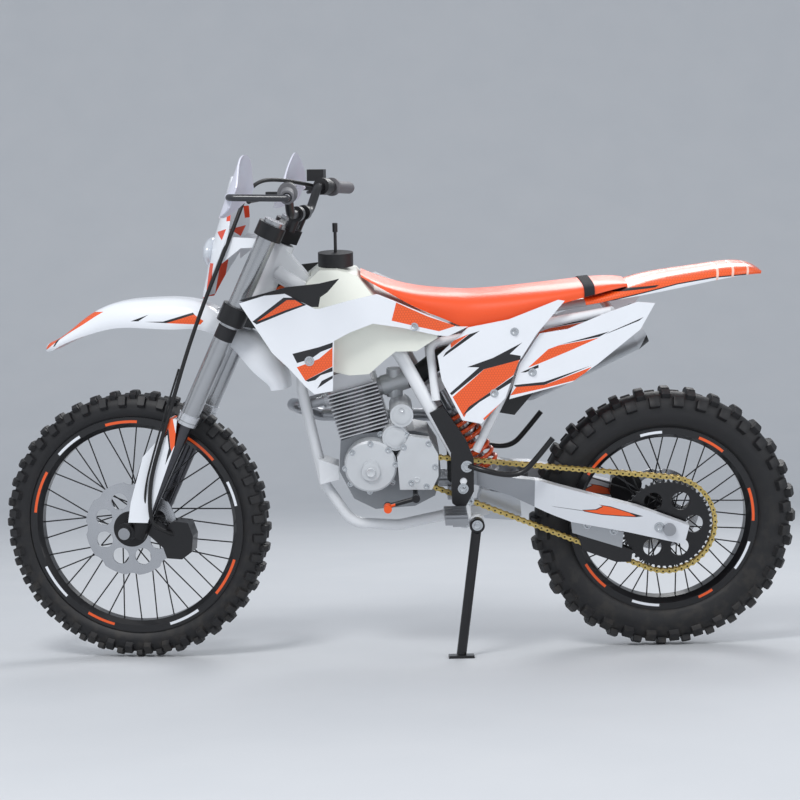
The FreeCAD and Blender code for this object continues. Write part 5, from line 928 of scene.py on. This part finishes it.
def node_finishes(stance: Stance) -> dict:
    """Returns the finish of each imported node, by body."""
    painted = graphics()
    grey = Finish("grey anodised fork", rgb(176, 178, 181), rough=0.24, metal=0.85, mottle=0.05, patches=(
        fork_bar(stance, rgb(206, 208, 212), 312.0, 326.0),
        fork_bar(stance, rgb(212, 214, 218), 329.0, 346.0),
        fork_bar(stance, BLACK, 553.0, 588.0, metal=0.0, rough=0.6),
    ))
    slider = Finish("dark hard chrome", rgb(84, 84, 88), rough=0.2, metal=0.9, mottle=0.08, patches=(
        fork_bar(stance, SATIN_BLACK, -40.0, 46.0, metal=0.2, rough=0.4),))
    shield = Finish("guard plastic", rgb(214, 215, 228), rough=0.3, coat=0.2, mottle=0.03,
                    patches=(everywhere(rgb(42, 43, 48), 414.3),))
    can = Finish("muffler alloy", rgb(196, 199, 203), rough=0.34, metal=0.75, mottle=0.06, patches=(
        Patch(BLACK, ((-75, 700), (-8, 872), (40, 872), (40, 700)), metal=0.1, rough=0.45),
        Patch(BLACK, ((-420, 560), (-420, 760), (-372, 760), (-372, 560)), metal=0.1, rough=0.45)))
    arm = Finish("swingarm paint", rgb(214, 217, 222), rough=0.3, metal=0.15, coat=0.2, mottle=0.03, patches=(
        Patch(rgb(150, 153, 158), ((-560, 300), (-343, 300), (-338, 520), (-560, 520)), metal=0.7),
        Patch(BLACK, ((-222, 401), (-187, 402), (-170, 410), (-180, 414), (-150, 409), (-101, 392),
                      (-66, 381), (-85, 379),
                      (-124, 382), (-172, 387), (-215, 396))),
        Patch(ORANGE, ((-220, 399), (-185, 400), (-168, 408), (-176, 412), (-150, 407), (-101, 390),
                       (-85, 381), (-124, 384),
                       (-172, 389))),
        Patch(rgb(120, 122, 126), ((-300, 413), (-226, 401), (-215, 397), (-290, 410))),
    ))
    guide = Finish("chain guide", rgb(22, 22, 25), rough=0.5, mottle=0.1, patches=(
        Patch(rgb(176, 179, 183), ((-246, 363), (-111, 332), (-115, 290), (-242, 332)), metal=0.7,
              rough=0.35),))
    lever = Finish("foot levers", SATIN_BLACK, rough=0.4, metal=0.2, mottle=0.1, patches=(
        Patch(ORANGE, ((-745, 395), (-692, 395), (-692, 450), (-745, 450)), beyond=157.0),))
    stand = Finish("stand paint", SATIN_BLACK, rough=0.34, metal=0.2, coat=0.2, mottle=0.12)
    front_arcs = (
        (ORANGE, 150.0, 24.0), (WHITE, 122.0, 16.0), (ORANGE, 88.0, 18.0), (WHITE, 205.0, 20.0),
        (ORANGE, 240.0, 16.0), (WHITE, 288.0, 18.0), (ORANGE, 320.0, 22.0), (WHITE, 12.0, 14.0),
        (ORANGE, 40.0, 20.0))
    rear_arcs = (
        (ORANGE, -2.0, 22.0), (WHITE, -36.0, 20.0), (ORANGE, -66.0, 10.0), (WHITE, -110.0, 18.0),
        (ORANGE, 210.0, 20.0), (WHITE, 170.0, 16.0), (ORANGE, 130.0, 18.0), (WHITE, 92.0, 14.0),
        (ORANGE, 50.0, 18.0))
    return {
        Body.FRAME: {
            "main_frame": FRAME_PAINT, "subframe": FRAME_PAINT, "frame_guards": BLACK_PLASTIC,
            "crankcase": CRANKCASE_ALLOY, "engine_covers": CAST_SILVER, "cylinder": FINS,
            "starter_motor": CAST_SILVER, "carburettor": CAST_SILVER, "exhaust_pipe": STEEL, "muffler": can,
            "airbox": BLACK_PLASTIC, "fuel_tank": CREAM, "tank_cap": BLACK_PLASTIC,
            "shrouds": painted["shrouds"], "shroud_vents": BLACK_PLASTIC,
            "side_panels": painted["side_panels"], "tail_panels": painted["tail_panels"],
            "rear_fender": painted["rear_fender"], "shock_absorber": STEEL, "shock_spring": SPRING_ORANGE,
            "swingarm": arm, "rear_axle": STEEL, "linkage": BRIGHT, "chain": GOLD, "chain_guide": guide,
            "rear_caliper": BLACK_METAL, "foot_pegs": STEEL, "foot_controls": lever,
        },
        Body.STEERING: {
            "fork_tubes": grey, "fork_sliders": slider, "fork_clamps": BLACK_METAL, "handlebar": BLACK_METAL,
            "grips": GRIP, "bar_controls": BLACK_PLASTIC, "hand_guards": shield,
            "headlight_mask": painted["headlight_mask"], "headlight_lens": LENS,
            "front_fender": painted["front_fender"], "fork_guards": painted["fork_guards"],
            "front_caliper": BLACK_METAL, "front_axle": STEEL,
        },
        Body.FRONT_WHEEL: {
            "front_rim": rim_finish("front rim paint", stance.front_axle, FRONT_RIM_RADIUS, front_arcs),
            "front_hub": BLACK_METAL, "front_spokes": BLACK_METAL,
            "front_disc": disc_finish("front disc steel", stance.front_axle),
        },
        Body.REAR_WHEEL: {
            "rear_rim": rim_finish("rear rim paint", stance.rear_axle, REAR_RIM_RADIUS, rear_arcs),
            "rear_hub": BLACK_METAL, "rear_spokes": BLACK_METAL,
            "rear_disc": disc_finish("rear disc steel", stance.rear_axle), "rear_sprocket": BLACK_METAL,
        },
        Body.STAND: {"side_stand": stand},
    }


# Chain, spring, hoses, rests and strap


@dataclass
class Chain:
    """The roller chain: pairs of waisted plates from pin to pin round both sprockets."""

    driver: tuple = (-622.0, 505.0)
    pitch: float = 15.875
    wheel_teeth: int = 49
    driver_teeth: int = 13
    side: float = -72.0
    height: float = 12.4
    plate: float = 1.7
    gaps: tuple = (7.4, 4.6)
    roller: tuple = (5.0, 4.0)
    pin: tuple = (2.5, 8.5)

    def pins(self, stance: Stance) -> tuple:
        """Returns the places of the pins, evenly along the loop of two arcs and two straight runs."""
        teeth = (self.wheel_teeth, self.driver_teeth)
        big, small = (self.pitch / 2 / math.sin(math.pi / count) for count in teeth)
        axle = np.array((0.0, stance.axle_height))
        centre = np.array(self.driver)
        run = centre - axle
        length = np.linalg.norm(run)
        heading = math.atan2(run[1], run[0])
        spread = math.acos((big - small) / length)
        wheel = heading - spread - np.linspace(0, TAU - 2 * spread, 400)
        driver = heading + spread - np.linspace(0, 2 * spread, 120)
        loop = np.concatenate([
            axle + big * circle(wheel),
            centre + small * circle(driver),
        ])
        loop = np.concatenate([loop, loop[:1]])
        steps = np.concatenate([[0.0], np.cumsum(np.linalg.norm(np.diff(loop, axis=0), axis=1))])
        count = 2 * round(steps[-1] / self.pitch / 2)
        spots = np.linspace(0, steps[-1], count, endpoint=False)
        return np.stack([np.interp(spots, steps, loop[:, k]) for k in (0, 1)], -1)

    def link(self, length: float) -> Shell:
        """Returns one plate along X: round ends of half its height, and a waist between them."""
        end = self.height / 2 * circle(np.radians(np.linspace(60, 300, 9)))
        waist = np.array((length / 2, -self.height * 0.33))
        far = np.array((length, 0)) - end
        outline = np.concatenate([end, waist[None], far, waist[None] * (1, -1)])
        rings = [np.insert(outline, 1, side, axis=1) for side in (-self.plate / 2, self.plate / 2)]
        return grid_shell(np.array(rings), closed_columns=True, capped=True)

    def build(self, shop: Shop) -> None:
        """Makes the plates with their rollers, and the dark pin heads."""
        pins = self.pins(shop.stance)
        following = np.roll(pins, -1, 0)
        along = following - pins
        along /= np.linalg.norm(along, axis=1)[:, None]
        flat = np.zeros(len(pins))
        across = np.tile((0.0, 1.0, 0.0), (len(pins), 1))
        frames = np.stack([np.stack([along[:, 0], flat, along[:, 1]], -1), across,
                           np.stack([-along[:, 1], flat, along[:, 0]], -1)], -1)
        places = np.stack([pins[:, 0], flat + self.side, pins[:, 1]], -1)
        link = self.link(self.pitch)
        shells = [link.repeated(frames[start::2], places[start::2] + (0, side, 0))
                  for start, half in enumerate(self.gaps) for side in (-half, half)]
        shells.append(self.rod(*self.roller).repeated(frames, places))
        piece = shop.mount("chain_links", Shell.join(shells), GOLD, Body.FRAME, 30.0)
        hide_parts("chain")
        heads = self.rod(*self.pin).repeated(frames, places)
        shop.mount("chain_pins", heads, PIN_STEEL, Body.FRAME, 30.0)

    @staticmethod
    def rod(radius: float, half: float) -> Shell:
        """Returns a round rod across the chain, from its radius and half its length."""
        return turned([(radius, -half), (radius, half)], 10).moved(ACROSS, (0, 0, 0))


@dataclass
class Spring:
    """The coil round the damper, as a helix of round wire between its two cups."""

    top: tuple = (-572.0, 0.0, 716.0)
    low: tuple = (-424.0, 0.0, 440.0)
    span: tuple = (0.26, 0.84)
    radius: float = 31.0
    wire: float = 5.5
    turns: int = 8

    def build(self, shop: Shop) -> None:
        """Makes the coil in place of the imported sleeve."""
        top, low = np.array(self.top), np.array(self.low)
        axes = axes_for(low - top)
        share = np.linspace(0, 1, self.turns * 28 + 1)
        turn = share * TAU * self.turns
        length = np.linalg.norm(low - top) * (self.span[1] - self.span[0]) - 2 * self.wire
        start = top + (low - top) * self.span[0]
        spots = np.column_stack([self.radius * circle(turn), self.wire + length * share])
        coil = sweep(spots @ axes.T + start, self.wire, 10)
        piece = shop.mount("spring_coil", coil, SPRING_ORANGE, Body.FRAME, 40.0)
        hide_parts("shock_spring")


@dataclass
class Lines:
    """The front brake hose, the meter cable, the passenger's rests and the strap over the seat's rear."""

    hose: tuple = (
        (436, 250, 1205), (366, 120, 1232), (320, -40, 1225), (296, -108, 1125), (187, -116, 868),
        (112, -133, 618), (71, -133, 491), (68, -133, 390), (89, -120, 362), (116, -88, 345),
    )
    thin: tuple = (
        (150, -124, 770), (108, -134, 640), (84, -138, 560), (60, -134, 480), (52, -122, 420),
        (70, -104, 372))
    rest: tuple = (
        (-505, -127, 523), (-478, -150, 519), (-415, -150, 503), (-373, -150, 508), (-343, -150, 540),
        (-299, -150, 596))
    strap_x: tuple = (-217.0, -191.0)
    strap_gap: float = 2.6

    def build(self, shop: Shop) -> None:
        """Makes each line along its own curve."""
        for name, route, radius in (("brake_hose", self.hose, 5.0), ("meter_cable", self.thin, 2.6)):
            spots = smooth_path(np.array(route, float) + (shop.stance.front_axle[0], 0, 0))
            shop.mount(name, sweep(spots, radius, 10), BLACK_HOSE, Body.STEERING, 50.0)
        for name, side in (("left_rest", 1), ("right_rest", -1)):
            spots = smooth_path(np.array(self.rest, float) * (1, side, 1))
            shop.mount(name, sweep(spots, 7.0, 12), BLACK_METAL, Body.FRAME, 50.0)
        shop.mount("tail_strap", self.strap(), WEBBING, Body.FRAME, 40.0)

    def strap(self) -> Shell:
        """Returns a band close over the seat: the seat's own section a little larger, at two places."""
        side, rise = Seat.section()
        table = np.array(Seat.stations, float)
        rings = []
        for x in self.strap_x:
            top, low, half = (np.interp(x, table[:, 0], table[:, k]) for k in (1, 2, 3))
            for gap in ((self.strap_gap, 0.4) if x == self.strap_x[0] else (0.4, self.strap_gap)):
                rings.append(np.column_stack(
                    [np.full(len(side), x), (half + gap) * side, low + (top - low) * rise + gap]))
        shell = grid_shell(np.array(rings), closed_rows=True)
        count = len(side)
        shell.faces += [[k * count for k in range(4)][::-1], [k * count + count - 1 for k in range(4)]]
        return shell


# Screws


@dataclass(frozen=True)
class Bolt:
    """One screw head on the machine's left, seen from the side."""

    x: float
    z: float
    radius: float
    height: float = 4.0
    washer: bool = False
    sides: int = 6


class Screws:
    """Screw heads, each set on the surface that a line from outside meets first."""

    outside = 500.0
    outwards = np.array(((1, 0, 0), (0, 0, -1), (0, 1, 0)))
    engine = tuple(Bolt(x, z, 5.2, 4.0, True) for x, z in (
        (-815, 517), (-803, 465), (-754, 444), (-696, 467), (-689, 525), (-797, 559), (-751, 580),
        (-707, 563), (-813, 582), (-757, 603), (-725, 593), (-712, 616), (-660, 600), (-668, 572),
        (-650, 480), (-612, 470), (-590, 520), (-606, 580)))
    bosses = tuple(Bolt(x, z, r, h, False, 40) for x, z, r, h in (
        (-751, 509, 23, 3.0), (-751, 509, 12, 9.0), (-688, 593, 27, 3.0), (-688, 593, 21, 4.5),
        (-672, 652, 21, 3.0), (-672, 668, 6, 7.0), (-636, 488, 7, 3.0)))
    frame = tuple(Bolt(x, z, r, 6.0, True) for x, z, r in (
        (-511, 522, 10), (-521, 465, 9), (-506, 430, 9), (-487, 374, 9), (-847, 557, 9), (-806, 420, 9),
        (-592, 411, 9), (-392, 862, 7), (-443, 710, 7), (-347, 758, 7), (-896, 811, 8), (-640, 886, 7),
        (-234, 362, 7), (-204, 352, 7), (-137, 335, 7), (-25, 352, 9)))

    def shell(self, bolts: tuple, shop: Shop, nodes: tuple) -> Shell:
        """Returns every head that finds a surface of these nodes."""
        placing = shop.stance.frame
        trees = []
        for name in nodes:
            mesh = shop.nodes[name].data
            spots = [vertex.co[:] for vertex in mesh.vertices]
            trees.append(BVHTree.FromPolygons(spots, [polygon.vertices[:] for polygon in mesh.polygons]))
        inwards = Vector(placing.turn @ np.array((0.0, 1.0, 0.0)))
        heads = []
        for bolt in bolts:
            start = Vector(placing.points(np.array((bolt.x, -self.outside, bolt.z))))
            hits = [hit for hit in (tree.ray_cast(start, inwards) for tree in trees) if hit[0] is not None]
            if not hits:
                LOG.info("no surface under the screw at %s", (bolt.x, bolt.z))
                continue
            depth = min(hit[3] for hit in hits) / MM - self.outside
            heads.append(self.head(bolt).moved(self.outwards, (bolt.x, depth, bolt.z)))
        return Shell.join(heads)

    @staticmethod
    def head(bolt: Bolt) -> Shell:
        """Returns a head along Z with a dished top, on a round washer if it has one."""
        radius, tall = bolt.radius, bolt.height
        profile = [(radius, -1.0), (radius, tall * 0.8), (radius * 0.86, tall), (radius * 0.4, tall * 0.7)]
        head = turned(profile, bolt.sides)
        if not bolt.washer:
            return head
        return Shell.join([head, turned([(radius * 1.5, -1.0), (radius * 1.5, 1.2)], 20)])

    def build(self, shop: Shop) -> None:
        """Makes the engine's screws and round bosses, and the frame's screws."""
        bosses = self.shell(self.bosses, shop, ("engine_covers", "starter_motor"))
        shop.mount("cover_bosses", bosses, CAST_SILVER, Body.FRAME, 30.0)
        engine = self.shell(self.engine, shop, ("engine_covers", "crankcase"))
        shop.mount("engine_screws", engine, BOLT_STEEL, Body.FRAME, 30.0)
        frame = self.shell(self.frame, shop, (
            "frame_guards", "main_frame", "side_panels", "tail_panels", "shrouds", "chain_guide", "swingarm",
            "crankcase"))
        shop.mount("frame_screws", frame, BOLT_STEEL, Body.FRAME, 30.0)


# Studio


class Studio:
    """Floor, light and the camera at the photograph's viewing angle."""

    focal_pixels = 1912.7
    picture = 800
    sensor = 36.0
    camera_spot = (-781.7, -5000.0, 694.2)
    yaw = math.radians(-1.28)
    pitch = math.radians(-0.49)
    roll = math.radians(1.09)
    lamps = (
        ("key", (-1.6, -3.4, 4.2), (0, 0, 0.5), 1.3, 130),
        ("fill", (3.2, -2.8, 1.6), (0, 0, 0.6), 2.6, 30),
        ("back", (1.2, 3.2, 3.4), (0, 0, 0.7), 1.8, 60),
    )

    def camera(self, stance: Stance) -> None:
        """Stands the camera where the photograph was taken from."""
        data = bpy.data.cameras.new("camera")
        data.sensor_width = self.sensor
        data.lens = self.focal_pixels / self.picture * self.sensor
        eye = new_object("camera", data)
        turn = Matrix.Rotation(self.yaw, 3, "Z") @ Matrix.Rotation(self.pitch, 3, "X")
        turn = turn @ Matrix.Rotation(self.roll, 3, "Y")
        right, ahead, up = (turn.col[k] for k in range(3))
        axes = Matrix((right, up, -ahead)).transposed()
        place = Vector(self.camera_spot) * MM + Vector(stance.frame.shift)
        eye.matrix_world = Matrix.Translation(place) @ axes.to_4x4()
        bpy.context.scene.camera = eye

    @staticmethod
    def lamp(name: str, place: tuple, target: tuple, size: float, watts: float) -> None:
        """Hangs one wide soft lamp."""
        data = bpy.data.lights.new(name, "AREA")
        data.shape = "RECTANGLE"
        data.size = size
        data.size_y = size
        data.energy = watts
        lamp = new_object(name, data)
        lamp.location = place
        lamp.rotation_euler = (Vector(target) - Vector(place)).to_track_quat("-Z", "Y").to_euler()

    def backdrop(self) -> None:
        """Lays a pale floor that curves up into a wall far behind the machine."""
        near, far, bend, top, half_width = -14.0, 6.0, 6.0, 22.0, 30.0
        turn = np.linspace(0, math.pi / 2, 24)
        away = np.concatenate([[near], far + bend * np.sin(turn), [far + bend]])
        up = np.concatenate([[0.0], bend - bend * np.cos(turn), [top]])
        wide = np.array((-half_width, half_width))
        spots = np.stack(np.broadcast_arrays(wide[None], away[:, None], up[:, None]), -1)
        mesh = new_mesh("backdrop", spots.reshape(-1, 3), [face[::-1] for face in lattice(len(away), 2)])
        net = Net("pale backdrop")
        spot = net.make("ShaderNodeTexCoord", {}, {}, "Object")
        clouds = net.noise(spot, 3.0, 4.0)
        colour = net.blend(clouds, rgb(196, 199, 203), rgb(203, 205, 208))
        mesh.materials.append(net.surface({"Base Color": colour, "Roughness": 0.85}))
        floor = new_object("backdrop", mesh)

    @staticmethod
    def world() -> None:
        """Fills the room with even light."""
        world = bpy.data.worlds.new("room")
        bpy.context.scene.world = world
        world.use_nodes = True
        tree = world.node_tree
        tree.nodes.clear()
        back = tree.nodes.new("ShaderNodeBackground")
        back.inputs["Color"].default_value = (0.90, 0.94, 1.0, 1.0)
        back.inputs["Strength"].default_value = 0.78
        out = tree.nodes.new("ShaderNodeOutputWorld")
        tree.links.new(back.outputs[0], out.inputs["Surface"])

    def build(self, stance: Stance) -> None:
        """Sets up the whole studio."""
        self.camera(stance)
        self.backdrop()
        self.world()
        for lamp in self.lamps:
            self.lamp(*lamp)
        bpy.context.scene.view_settings.view_transform = "Standard"


def main() -> None:
    """Builds every sub-assembly."""
    logging.basicConfig(level=logging.INFO, format="%(message)s")
    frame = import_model()
    stance = Stance(frame["joints"])
    shop = Shop(stance, frame["nodes"])
    Studio().build(stance)
    for body, finishes in node_finishes(stance).items():
        for node, finish in finishes.items():
            shop.dress(node, finish, body)
    Tyre("front_tyre", Body.FRONT_WHEEL, stance.front_axle, radius=349.0, half_width=44.0,
         rim_radius=FRONT_RIM_RADIUS, rim_half=23.5, crown=44.0, pitches=40,
         knobs=(Knob(0, 20, 32, 12), Knob(30, 16.5, 16.5, 12), Knob(60, 20, 27, 12, 0.5))).build(shop)
    Tyre("rear_tyre", Body.REAR_WHEEL, stance.rear_axle, radius=345.0, half_width=56.0,
         rim_radius=REAR_RIM_RADIUS, rim_half=31.0, crown=56.0, pitches=32,
         knobs=(Knob(0, 23, 32, 14), Knob(30, 23, 20.5, 14), Knob(60, 26.5, 27, 14, 0.5))).build(shop)
    for assembly in (Seat(), Chain(), Spring(), Lines(), Screws()):
        assembly.build(shop)


if __name__ == "__main__":
    main()
